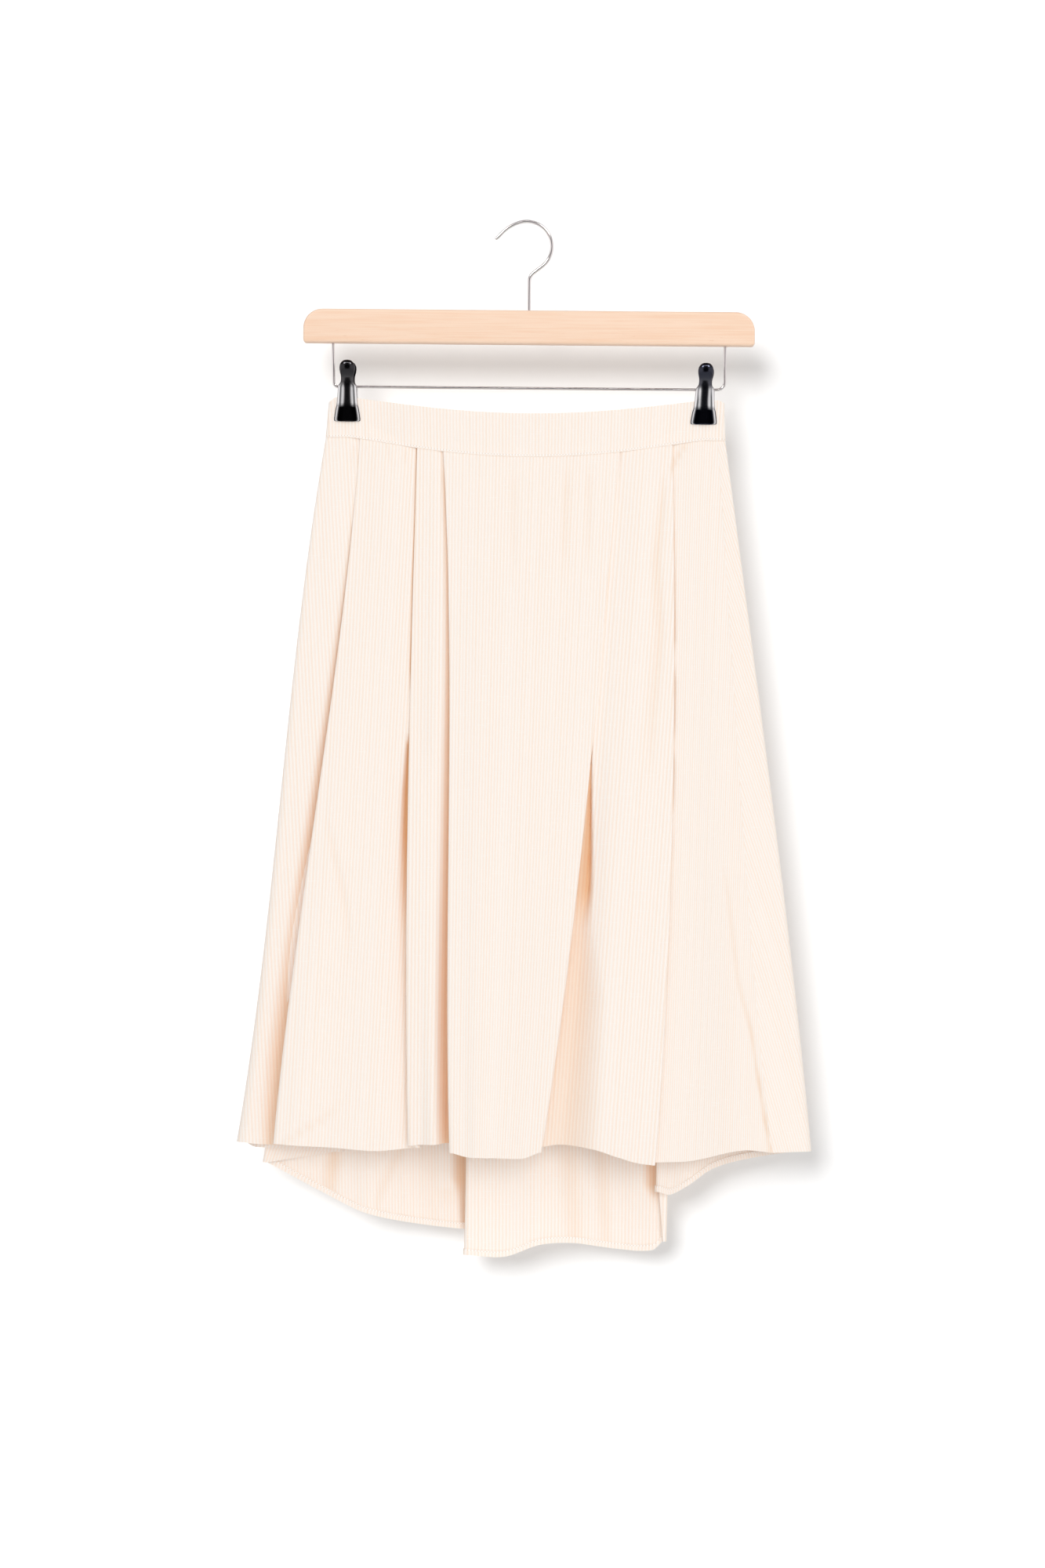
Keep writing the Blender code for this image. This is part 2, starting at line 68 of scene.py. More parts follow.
# The front panel is one width of striped cotton, cut wider towards the hem and folded at the waist into five
# knife pleats. Each pleat is an S-fold of three layers. Crests are the low waves between two pleats.
HEIGHTS = (0.0, 0.32, 0.65, 1.0)
LEFT_EDGE = (-168.8, -193.6, -212.8, -239.0)
RIGHT_EDGE = (166.0, 192.8, 219.4, 243.4)
RIGHT_SEAM = (160.0, 174.0, 189.0, 210.1)
LAYER_SPACING = (1.5, 2.2, 4.0, 5.4)
SIDE_WAIST, SIDE_HEM = 1.4, 6.0
BOW_WAIST, BOW_HEM = 6.5, 14.0
SEAM_DROP, SEAM_SAG = 182.0, 15.5
SAG_REACH, SAG_EASE = 150.0, 1.2
SEAM_GAP, WAIST_TUCK = 0.02, 2.0
SIDE_HEM_LEFT, SIDE_HEM_RIGHT, SEAM_HEM_RIGHT = 775.2, 779.0, 779.9
CLOTH = 0.8
ROWS = 111
SPAN = 2.1
FOLD_STEPS = 7

# A pleat's layers are pressed together or sprung open by these shares of the layer spacing. OPEN_AT is where,
# as shares of the way down.
OPEN_AT = (0.0, 0.15, 0.3, 0.42, 0.5, 0.7, 1.0)
Pleat = namedtuple(
    "Pleat",
    "name faces edge under_waist under_hem low_waist low_hem"
    " hem_below hem_inner hem_edge hem_above opens",
)
OPEN_1 = (0.6, 0.6, 0.9, 1.0, 1.0, 1.1, 1.1)
OPEN_2 = (0.6, 0.6, 0.5, 0.5, 1.0, 1.0, 0.7)
OPEN_3 = (0.6, 0.7, 0.7, 0.8, 0.8, 0.9, 0.9)
OPEN_4 = (0.6, 0.5, 0.42, 0.42, 0.6, 0.9, 0.7)
OPEN_5 = (0.6, 0.55, 0.5, 0.5, 0.5, 0.5, 0.5)
FRONT_PLEATS = (
    Pleat("left_outer", "left", (-140.3, -158.4, -184.1, -207.1), 13, 15, -1, 0, 777, 777, 775, 776, OPEN_1),
    Pleat("left_inner", "left", (-92.1, -95.7, -97.3, -94.2), 9, 9, -1, 0, 778, 777, 775, 774, OPEN_2),
    Pleat("centre_left", "left", (-70.3, -63.3, -62.7, -59.5), 6, 11, -1, 1, 773, 775, 780, 783, OPEN_3),
    Pleat("centre_right", "right", (77.5, 61.7, 43.3, 16.7), 13, 13, -1, 1, 775, 777, 779, 784, OPEN_4),
    Pleat("right_outer", "right", (121.7, 124.7, 122.5, 111.8), 13, 14, -1, 0, 788, 789, 790, 788, OPEN_5),
)
Crest = namedtuple("Crest", "after place_waist place_hem level_waist level_hem hem")
FRONT_CRESTS = (
    Crest("side", 0.5, 0.5, 0.0, -0.3, 776.6),
    Crest("left_outer", 0.3, 0.3, 0.6, 1.2, 777.5),
    Crest("left_outer", 0.7, 0.72, 0.0, 0.9, 780.1),
    Crest("left_inner", 0.5, 0.5, 0.3, 2.3, 773.6),
    Crest("centre_left", 0.2, 0.2, 1.0, 3.2, 783.6),
    Crest("centre_left", 0.55, 0.5, 0.9, 2.5, 784.0),
    Crest("centre_right", 0.07, 0.19, -0.9, 0.4, 773.5),
    Crest("centre_right", 0.17, 0.54, -0.7, 2.3, 776.5),
    Crest("centre_right", 0.5, 0.8, 0.4, 2.0, 783.0),
    Crest("right_outer", 0.35, 0.3, -0.6, -0.4, 787.0),
    Crest("right_outer", 0.7, 0.74, -0.3, 0.7, 777.6),
)

# The stripes lean by this many degrees from plumb at the left and right of each strip between two pleats. A
# lean above 0 goes down to the right.
FRONT_LEANS = ((3.5, 3.5), (-2.0, -3.0), (0.0, 0.0), (0.0, -3.0), (-4.0, -3.5), (-0.5, -5.5))


def mix(first, last, share):
    """The value a share of the way from first to last."""
    return first + (last - first) * share


def along(values, share):
    """The cubic through four values that are given at HEIGHTS."""
    total = 0.0
    for value, height in zip(values, HEIGHTS):
        for other in HEIGHTS:
            if other != height:
                value = value * (share - other) / (height - other)
        total += value
    return total


def sag(x):
    """1 at the middle of the waist and 0 from the clips outward."""
    return max(0.0, 1.0 - (x / SAG_REACH) ** 2) ** SAG_EASE


def seam_drop(x):
    """Drop of the waist seam, which hangs down between the clips."""
    return SEAM_DROP + SEAM_SAG * sag(x)


def depth(x, share, level):
    """How far a layer of either panel lies from the middle plane."""
    left = along(LEFT_EDGE, share)
    right = along(RIGHT_EDGE, share)
    across = (2 * x - left - right) / (right - left)
    bow = mix(BOW_WAIST, BOW_HEM, share) * (1 - across**2)
    return mix(SIDE_WAIST, SIDE_HEM, share) + bow + level * along(LAYER_SPACING, share)


def key(x, share, level, hem, facing):
    """A point of a section: X, Y and the drop of the hem below it."""
    return Vector((x, facing * depth(x, share, level), hem))


def pleat_layers(pleat, share, facing):
    """The low, middle and top layers of a pleat as runs of key points, from left to right."""
    edge = along(pleat.edge, share)
    inward = 1 if pleat.faces == "left" else -1
    inner = edge + inward * mix(pleat.under_waist, pleat.under_hem, share)
    opened = float(np.interp(share, OPEN_AT, pleat.opens))
    low = mix(pleat.low_waist, pleat.low_hem, share)
    turn = inward * along(LAYER_SPACING, share) * opened / 2
    layers = [
        [
            key(edge - turn, share, low, pleat.hem_below, facing),
            key(inner - turn, share, low, pleat.hem_inner, facing),
        ],
        [
            key(inner - turn, share, low + opened, pleat.hem_inner, facing),
            key(edge + turn, share, low + opened, pleat.hem_edge, facing),
        ],
        [
            key(edge + turn, share, low + 2 * opened, pleat.hem_edge, facing),
            key(inner + turn, share, low + 2 * opened, pleat.hem_above, facing),
        ],
    ]
    if inward < 0:
        layers = [layer[::-1] for layer in layers[::-1]]
    return layers


def panel_runs(pleats, crests, first, last, share, facing):
    """A panel's section as runs of key points, with a fold between each run and the next."""
    runs = []
    run = [first]
    place = "side"
    for pleat in (*pleats, None):
        layers = pleat_layers(pleat, share, facing) if pleat else [[last]]
        start = run[-1].x
        stop = layers[0][0].x
        for crest in crests:
            if crest.after == place:
                x = mix(start, stop, mix(crest.place_waist, crest.place_hem, share))
                level = mix(crest.level_waist, crest.level_hem, share)
                sewn = min(1.0, 0.2 + share / 0.1)
                run.append(key(x, share, level * sewn, crest.hem, facing))
        run.extend(layers[0])
        if pleat:
            runs.extend((run, layers[1]))
            run = layers[2]
            place = pleat.name
    return [*runs, run]


def span_steps(at_waist, at_hem):
    """How many steps each span of each run is drawn in, by its length where it is longest."""
    steps = []
    for upper, lower in zip(at_waist, at_hem):
        lengths = [
            max((b - a).xy.length, (d - c).xy.length)
            for a, b, c, d in zip(upper, upper[1:], lower, lower[1:])
        ]
        steps.append([max(1, round(length / SPAN)) for length in lengths])
    return steps


def smooth_run(run, steps):
    """Points on a smooth curve through a run, which leaves and arrives along X."""
    tangents = []
    for i, point in enumerate(run):
        before = run[max(i - 1, 0)]
        after = run[min(i + 1, len(run) - 1)]
        slope = (after - before) / max((after - before).xy.length, 1e-6)
        if i in (0, len(run) - 1):
            slope = Vector((math.copysign(1.0, after.x - before.x), 0.0, slope.z))
        tangents.append(slope)
    points = [run[0]]
    for i, count in enumerate(steps):
        a, b = run[i], run[i + 1]
        length = (b - a).xy.length
        for step in range(1, count + 1):
            t = step / count
            points.append(
                a * (2 * t**3 - 3 * t**2 + 1)
                + tangents[i] * length * (t**3 - 2 * t**2 + t)
                + b * (3 * t**2 - 2 * t**3)
                + tangents[i + 1] * length * (t**3 - t**2)
            )
    return points


def fold_points(start, end, outward):
    """The points between two layers that a fold joins, on a half circle bulging along X."""
    radius = abs(end.y - start.y) / 2
    points = []
    for step in range(1, FOLD_STEPS):
        angle = math.pi * step / FOLD_STEPS
        share = (1 - math.cos(angle)) / 2
        point = start.lerp(end, share)
        point.x = mix(start.x, end.x, share) + outward * radius * math.sin(angle)
        points.append(point)
    return points


def section_line(runs, steps):
    """One section of a panel through every fold, and where in it the middle of each fold is."""
    line = []
    folds = []
    for i, run in enumerate(runs):
        points = smooth_run(run, steps[i])
        line.extend(points)
        if i + 1 < len(runs):
            outward = math.copysign(1.0, run[-1].x - run[-2].x)
            folds.append(len(line) + FOLD_STEPS // 2)
            line.extend(fold_points(points[-1], runs[i + 1][0], outward))
    return line, folds


def side_turn(tip, reach, facing, hem):
    """The quarter turn of a side fold, from the middle plane towards the panel."""
    gap = SEAM_GAP / 2
    points = []
    for step in range(FOLD_STEPS):
        angle = math.pi / 2 * step / FOLD_STEPS
        x = tip + reach * (1 - math.cos(angle))
        y = facing * (gap + (abs(reach) - gap) * math.sin(angle))
        points.append(Vector((x, y, hem)))
    return points


def front_runs(share):
    """The front panel's runs: from the left side fold to the seam on the right."""
    start = along(LEFT_EDGE, share) + mix(SIDE_WAIST, SIDE_HEM, share)
    seam = along(RIGHT_SEAM, share) - SEAM_GAP / 2
    first = key(start, share, 0, SIDE_HEM_LEFT, -1)
    last = key(seam, share, 0, SEAM_HEM_RIGHT, -1)
    return panel_runs(FRONT_PLEATS, FRONT_CRESTS, first, last, share, -1)


def panel_grid(runs_at, pleats, facing):
    """The panel's rows of points, from waist seam to hem, and the columns between its hidden inner folds."""
    steps = span_steps(runs_at(0.0), runs_at(1.0))
    lines = []
    for i in range(ROWS):
        share = i / (ROWS - 1)
        tip = along(LEFT_EDGE, share)
        turn = side_turn(tip, mix(SIDE_WAIST, SIDE_HEM, share), facing, SIDE_HEM_LEFT)
        line, folds = section_line(runs_at(share), steps)
        lines.append(turn + line)
    rows = []
    for i, line in enumerate(lines):
        row = []
        for point, top, bottom in zip(line, lines[0], lines[-1]):
            drop = mix(seam_drop(top.x) - WAIST_TUCK, bottom.z, i / (ROWS - 1))
            row.append(Vector((point.x, point.y, -drop)))
        rows.append(row)
    inner = [2 * i + (0 if pleat.faces == "left" else 1) for i, pleat in enumerate(pleats)]
    grid = np.array(rows)
    ends = [0, *[FOLD_STEPS + folds[i] for i in inner], grid.shape[1] - 1]
    return grid, list(zip(ends, ends[1:]))


def smooth(value):
    """0 below 0, 1 above 1, and smooth between them."""
    value = np.clip(value, 0.0, 1.0)
    return value * value * (3 - 2 * value)


def at_drops(drop, keys):
    """The values that the keys give at these drops, besides the keys' own drops."""
    columns = list(zip(*keys))
    return [np.interp(drop, columns[0], column) for column in columns[1:]]


def sink_beside(grid, painted_fold_shade, strip, pleat, facing, keys):
    """Lets the layer under a pleat sink beside its edge, and paints a warm shade there."""
    part = grid[:, strip[0] : strip[1] + 1]
    shade = painted_fold_shade[:, strip[0] : strip[1] + 1]
    shares = np.linspace(0, 1, ROWS)[:, None]
    outward = -1 if pleat.faces == "left" else 1
    beyond = outward * (part[:, :, 0] - along(pleat.edge, shares))
    under = mix(pleat.under_waist, pleat.under_hem, shares)
    width, plateau, slant, deep, painted_share = at_drops(-part[:, :, 2], keys)
    fade = 1 - smooth((beyond / width - plateau) / (1 - plateau))
    fade = fade * mix(1 - slant, 1, np.clip(beyond / width, 0, 1))
    part[:, :, 1] -= facing * deep * fade * smooth(1 + beyond / under)
    np.maximum(shade, painted_share * fade, out=shade)


def crease(grid, painted_fold_shade, strip, keys):
    """A soft trough or ridge down the cloth, which deepens away from the front where its depth is above 0."""
    part = grid[:, strip[0] : strip[1] + 1]
    shade = painted_fold_shade[:, strip[0] : strip[1] + 1]
    x, left, right, deep, painted_share = at_drops(-part[:, :, 2], keys)
    beside = part[:, :, 0] - x
    fade = smooth(1 - np.abs(beside) / np.where(beside < 0, left, right))
    columns = np.arange(strip[0], strip[1] + 1)
    starts = 1.0 if strip[0] == 0 else smooth((columns - strip[0]) / 4)
    stops = 1.0 if strip[1] == grid.shape[1] - 1 else smooth((strip[1] - columns) / 4)
    part[:, :, 1] += deep * fade * starts * stops
    # Warm shade is painted along the crease.
    np.maximum(shade, painted_share * fade, out=shade)


def stripe_map(grid, parts, leans):
    """Where the points lie across the striped cloth: each strip's first and last column, and its values."""
    steps = np.linalg.norm(np.diff(grid[:, :, :2], axis=1), axis=2)
    walked = np.concatenate([np.zeros((len(grid), 1)), np.cumsum(steps, axis=1)], axis=1)
    strips = []
    for (first, last), (lean_left, lean_right) in zip(parts, leans):
        middle = (first + last) // 2
        columns = np.arange(first, last + 1)
        share = (columns - first) / (last - first)
        slope = np.tan(np.radians(mix(lean_left, lean_right, share)))
        start = grid[:, middle : middle + 1, 0] - walked[:, middle : middle + 1]
        across = walked[:, first : last + 1] + start
        strips.append((first, last, across + slope * grid[:, first : last + 1, 2]))
    return strips


# A sheet of cloth is its points, its strips, the warm shade painted on its right and wrong sides, and how
# far each point is above the line of stitches.
Sheet = namedtuple("Sheet", "grid strips outside inside to_stitches")


def turned_up(grid, strips, facing):
    """The hem allowance, folded up against the inside of the panel, with its stripes mirrored."""
    last, above = grid[-1], grid[-2]
    rise = np.clip(HEM_TURN / np.maximum(above[:, 2] - last[:, 2], 0.1), 0, 1)[:, None]
    way = np.gradient(last[:, :2], axis=0)
    way /= np.maximum(np.linalg.norm(way, axis=1), 1e-6)[:, None]
    inside = np.stack([-way[:, 1], way[:, 0], np.zeros(len(way))], axis=1) * facing * -HEM_LIFT
    rows = [mix(last, above, rise * share) + inside for share in (1.0, 0.5, 0.0)]
    mirrored = []
    for first, stop, across in strips:
        span = rise[first : stop + 1, 0]
        values = [across[-1] + (across[-1] - across[-2]) * span * share for share in (1.0, 0.5, 0.0)]
        mirrored.append((first, stop, np.array(values)))
    to_stitches = np.array([[STITCHES_IN - HEM_TURN * fallen] * len(last) for fallen in (0.0, 0.5, 1.0)])
    plain = np.zeros((3, len(last)))
    return Sheet(np.array(rows), mirrored, plain, plain, to_stitches)


def cloth_shell(name, sheets, facing, thickness=CLOTH):
    """A thin shell over sheets of cloth, with their stripes, stitches and painted warm shade on each side."""
    points = []
    faces = []
    places = []
    right_side = []
    wrong_side = []
    distances = []
    for sheet in sheets:
        rows, columns = sheet.grid.shape[:2]
        offset = len(points)
        points.extend((sheet.grid.reshape(-1, 3) * MM).tolist())
        right_side.extend(sheet.outside.ravel())
        wrong_side.extend(sheet.inside.ravel())
        distances.extend(sheet.to_stitches.ravel())
        for first, last, across in sheet.strips:
            for row in range(rows - 1):
                for column in range(first, last):
                    start = offset + row * columns + column
                    faces.append((start, start + columns, start + columns + 1, start + 1))
                    for down, right in ((0, 0), (1, 0), (1, 1), (0, 1)):
                        u = across[row + down, column - first + right]
                        places.extend((u * MM, sheet.grid[row + down, column + right, 2] * MM))
    mesh = bpy.data.meshes.new(name)
    mesh.from_pydata(points, [], faces)
    mesh.uv_layers.new(name="cloth").data.foreach_set("uv", places)
    mesh.attributes.new("to_stitches", "FLOAT", "POINT").data.foreach_set("value", distances)
    mesh.shade_smooth()
    made = bpy.data.objects.new(name, mesh)
    bpy.context.scene.collection.objects.link(made)
    bpy.context.view_layer.objects.active = made
    wall = made.modifiers.new("cloth thickness", "SOLIDIFY")
    wall.thickness = thickness * MM
    wall.offset = 0.0
    bpy.ops.object.modifier_apply(modifier=wall.name)
    mesh.set_sharp_from_angle(angle=math.radians(55))
    depths = np.array([vertex.co.y for vertex in mesh.vertices])
    first_outside = facing * np.sum(depths[: len(points)] - depths[len(points) :]) > 0
    shades = right_side + wrong_side if first_outside else wrong_side + right_side
    mesh.attributes.new("painted_fold_shade", "FLOAT", "POINT").data.foreach_set("value", shades)
    return made


# Beside each pleat's edge the layer below sinks in: drop, how far the hollow reaches, how much of that is
# flat, how much shallower it is at the edge, depth, and how strong the painted warm shade is.
FRONT_HOLLOWS = (
    (0, ((225, 2, 0, 0, 0, 0), (252, 2.5, 0, 0, 0.6, 0.2), (274, 3.5, 0, 0, 1.5, 0.35),
         (340, 5, 0.1, 0, 2.5, 0.45), (445, 8, 0, 0, 3.5, 0.5), (538, 11, 0, 0, 4.5, 0.55),
         (620, 15, 0, 0, 5.5, 0.55), (703, 17, 0.1, 0, 6, 0.55), (768, 15, 0.1, 0, 5.5, 0.5))),
    (1, ((186, 1.8, 0.3, 0, 0.8, 0.8), (375, 2.2, 0.4, 0, 0.9, 1), (392, 1.5, 0.2, 0, 0.5, 0.4),
         (400, 1, 0, 0, 0.2, 0.15), (430, 1.4, 0, 0, 0.4, 0.4), (440, 4, 0.3, 0, 2.5, 1),
         (480, 7, 0.3, 0, 4, 1), (515, 8, 0.25, 0, 4, 1), (560, 9, 0.1, 0, 3, 0.7),
         (598, 9, 0, 0, 1.6, 0.32), (690, 6, 0, 0, 0.6, 0.1), (785, 6, 0, 0, 0.4, 0.04))),
    (2, ((188, 2, 0, 0, 0.2, 0.1), (214, 4.5, 0.2, 0, 1, 0.4), (270, 5, 0.2, 0, 1.6, 0.4),
         (325, 5.5, 0.2, 0, 2, 0.45), (400, 6.5, 0.2, 0, 2.8, 0.5), (445, 7.5, 0.2, 0, 3.2, 0.55),
         (538, 9, 0.15, 0, 4, 0.62), (655, 12, 0.15, 0, 5, 0.66), (770, 14, 0.15, 0, 5.5, 0.66))),
    (4, ((430, 0.3, 0, 0, 0, 0), (445, 1.2, 0.5, 0.4, 2, 0.9), (488, 5.8, 0.75, 0.4, 6, 1),
         (538, 12, 0.75, 0.4, 9, 1), (562, 14.5, 0.72, 0.4, 9, 0.95), (578, 16, 0.5, 0.3, 8, 0.6),
         (591, 18, 0.2, 0.2, 7, 0.42), (604, 22, 0.15, 0.15, 6.5, 0.42), (653, 38, 0.2, 0.25, 6, 0.42),
         (719, 46, 0.25, 0.45, 5.5, 0.42), (782, 56, 0.3, 0.6, 5, 0.42))),
    (5, ((186, 1.5, 0, 0, 0.3, 0.15), (255, 2, 0.1, 0, 0.7, 0.35), (349, 2.4, 0.2, 0, 1.3, 0.5),
         (366, 1.2, 0, 0, 0.4, 0.15), (385, 2.6, 0.2, 0, 1.5, 0.5), (423, 2.4, 0.2, 0, 1.2, 0.45),
         (437, 1.2, 0, 0, 0.4, 0.15), (455, 2.6, 0.2, 0, 1.3, 0.4), (490, 2.2, 0.1, 0, 1, 0.3),
         (498, 1.2, 0, 0, 0.3, 0.1), (520, 2, 0, 0, 0.6, 0.15), (600, 2, 0, 0, 0.4, 0.08),
         (785, 2, 0, 0, 0.3, 0.05))),
)

# Lesser creases by the strip of cloth they are in: drop, X, reach to the left and right, depth and painted
# shade.
RIGHT_TUCK = (
    (179, 136.9, 3.3, 3.3, 0, 0), (186, 133.3, 4, 3.3, 0.5, 0.2), (195, 127.1, 4, 3.3, 0.6, 0.24),
    (205, 121.9, 3.3, 2.6, 0.4, 0.2), (216, 121.4, 2.6, 2.6, 0, 0),
)
SEAM_PUCKERS = (
    (663, 189.9, 2, 2, 0, 0), (678, 192, 2.6, 2.6, 1, 0.34), (701, 195.5, 2, 2, 0.5, 0.22),
    (721, 199, 3.3, 2.6, 1.4, 0.42), (738, 201.8, 2, 2, 0.6, 0.28), (754, 204.6, 3.3, 2.6, 1.3, 0.42),
    (767, 207.3, 2, 2, 0.7, 0.3), (781, 209.4, 2.6, 2.6, 1, 0.36),
)
FRONT_CREASES = (
    (0, ((187, -146.2, 2, 2, 0, 0), (193, -146.2, 2.6, 2.6, 0.3, 0.14), (203, -147.4, 2.6, 2.6, 0.2, 0.06),
         (213, -148, 2.6, 2.6, 0, 0))),
    (1, ((184, -116.5, 2, 2, 0, 0), (193, -116.5, 2.6, 2.6, 0.3, 0.12), (208, -116.3, 2.6, 2.6, 0, 0))),
    (1, ((187, -102.7, 2, 2, 0, 0), (196, -102.6, 2.6, 2.6, 0.3, 0.12), (209, -102.5, 2.6, 2.6, 0, 0))),
    (1, ((500, -165.3, 4, 4, 0, 0), (523, -161.1, 4.6, 5.9, 0.8, 0.1), (559, -152.9, 4.6, 5.9, 0.9, 0.1),
         (596, -145.9, 4, 4.6, 0.4, 0.06), (615, -143.1, 4, 4, 0, 0))),
    (1, ((546, -154.3, 4, 4, 0, 0), (566, -152.1, 4, 5.9, 0.7, 0.08), (612, -146.5, 4, 4.6, 0.3, 0.05),
         (632, -145, 4, 4, 0, 0))),
    (1, ((734, -148, 6.6, 6.6, 0, 0), (753, -164.4, 7.9, 7.9, 1, 0.1), (764, -184.1, 6.6, 6.6, 1.1, 0.13),
         (776, -199.2, 5.3, 5.3, 0.7, 0.1), (783, -206.4, 4, 4, 0.3, 0.05))),
    (1, ((750, -175, 4.6, 4.6, 0, 0), (759, -181.5, 5.3, 5.3, -0.9, 0), (770, -193.3, 5.3, 5.3, -0.8, 0),
         (779, -199.8, 4, 4, 0, 0))),
    (3, ((198, -11.5, 5.9, 5.9, 0, 0), (221, -11.3, 6.6, 6.6, 0.5, 0.1), (268, -10.9, 6.6, 6.6, 0.4, 0.08),
         (314, -10.5, 5.9, 5.9, 0, 0))),
    (3, ((198, 33.4, 5.9, 5.9, 0, 0), (221, 33, 6.6, 6.6, 0.6, 0.12), (267, 32, 6.6, 6.6, 0.5, 0.1),
         (307, 31.1, 5.9, 5.9, 0, 0))),
    (3, ((198, 52.5, 4, 4, 0, 0), (221, 52.1, 4.6, 4.6, 0.5, 0.12), (267, 51.8, 4.6, 4.6, 0.4, 0.1),
         (303, 50.8, 4, 4, 0, 0))),
    (4, ((207, 115.3, 5.3, 3.3, 0, 0), (231, 114.9, 6.6, 3.3, 0.9, 0.14), (282, 110, 8.6, 5.3, 1.3, 0.17),
         (345, 113.2, 8.6, 5.3, 1.2, 0.17), (422, 107.3, 8.6, 6.6, 0.9, 0.12),
         (478, 105.2, 7.9, 6.6, 0, 0))),
    (4, RIGHT_TUCK),
    (5, RIGHT_TUCK),
    (5, ((537, 167.1, 3.3, 3.3, 0, 0), (553, 169.8, 3.3, 4, 0.5, 0.1), (636, 180.5, 3.3, 4, 0.7, 0.14),
         (669, 189.3, 3.3, 4, 0.8, 0.2), (685, 192.8, 2.6, 2.6, 0, 0))),
    (5, SEAM_PUCKERS),
)
HEM_TURN, HEM_LIFT, STITCHES_IN = 5.3, 0.8, 1.0
NO_STITCHES = 50.0


def hung_panel(name, grid, parts, leans, facing, pleats, hollows, creases, inside_creases=()):
    """A panel with its hollows and creases, its stripes and its turned-up hem."""
    strips = stripe_map(grid, parts, leans)
    # The warm shade painted on the cloth's right and wrong sides.
    outside = np.zeros(grid.shape[:2])
    inside = np.zeros(grid.shape[:2])
    for pleat, (place, keys) in zip(pleats, hollows):
        sink_beside(grid, outside, parts[place], pleat, facing, keys)
    for place, keys in creases:
        crease(grid, outside, parts[place], keys)
    for place, keys in inside_creases:
        crease(grid, inside, parts[place], keys)
    plain = np.full(grid.shape[:2], NO_STITCHES)
    sheets = [Sheet(grid, strips, outside, inside, plain), turned_up(grid, strips, facing)]
    return cloth_shell(name, sheets, facing)


front_grid, front_parts = panel_grid(front_runs, FRONT_PLEATS, -1)
front = hung_panel(
    "front_panel", front_grid, front_parts, FRONT_LEANS, -1, FRONT_PLEATS, FRONT_HOLLOWS, FRONT_CREASES
)


# The cloth is a light cotton with narrow peach and cream stripes, woven in, and with slubs: short thick
# places in the weft that show as pale dashes. Its hems and waist seam have a line of dotted stitches.
STRIPE_REPEAT = 2.95
CREAM = (0.975, 0.905, 0.845)
PEACH = (0.955, 0.815, 0.70)
SLUB_PALE = (1.0, 0.97, 0.93)
# Painted shade: deep in folds and creases the colour is multiplied towards this.
PAINTED_SHADE_TINT = (0.87, 0.59, 0.34)
THREAD, THREAD_GAP = (1.0, 0.97, 0.94), (0.80, 0.64, 0.52)
STITCH_PITCH, STITCH_HALF = 2.7, 0.3
STRIPE_WOBBLE = 0.7
SLUBS_ACROSS, SLUBS_DOWN = 55.0, 1700.0
WARP_RADIANS, WEFT_RADIANS = 16000.0, 14000.0


def node(tree, kind, inputs=None, **settings):
    """A node of that kind, with its settings and with values or links for its inputs."""
    made = tree.nodes.new(kind)
    for name, value in settings.items():
        setattr(made, name, value)
    for name, value in (inputs or {}).items():
        if isinstance(value, bpy.types.NodeSocket):
            tree.links.new(value, made.inputs[name])
        else:
            made.inputs[name].default_value = value
    return made


def maths(tree, operation, *values):
    """The result of a Math node."""
    return node(tree, "ShaderNodeMath", dict(enumerate(values)), operation=operation).outputs[0]


def smooth_range(tree, value, low, high):
    """0 below low, 1 above high, and smooth between them."""
    made = node(tree, "ShaderNodeMapRange", {"Value": value, "From Min": low, "From Max": high})
    made.interpolation_type = "SMOOTHSTEP"
    return made.outputs["Result"]


def new_group(name, inputs, outputs):
    """A shader node group with float inputs that have these values, and these outputs."""
    tree = bpy.data.node_groups.new(name, "ShaderNodeTree")
    for socket, value in inputs.items():
        made = tree.interface.new_socket(socket, in_out="INPUT", socket_type="NodeSocketFloat")
        made.default_value = value
    for socket in outputs:
        tree.interface.new_socket(socket, in_out="OUTPUT", socket_type="NodeSocketFloat")
    return tree, tree.nodes.new("NodeGroupInput"), tree.nodes.new("NodeGroupOutput")


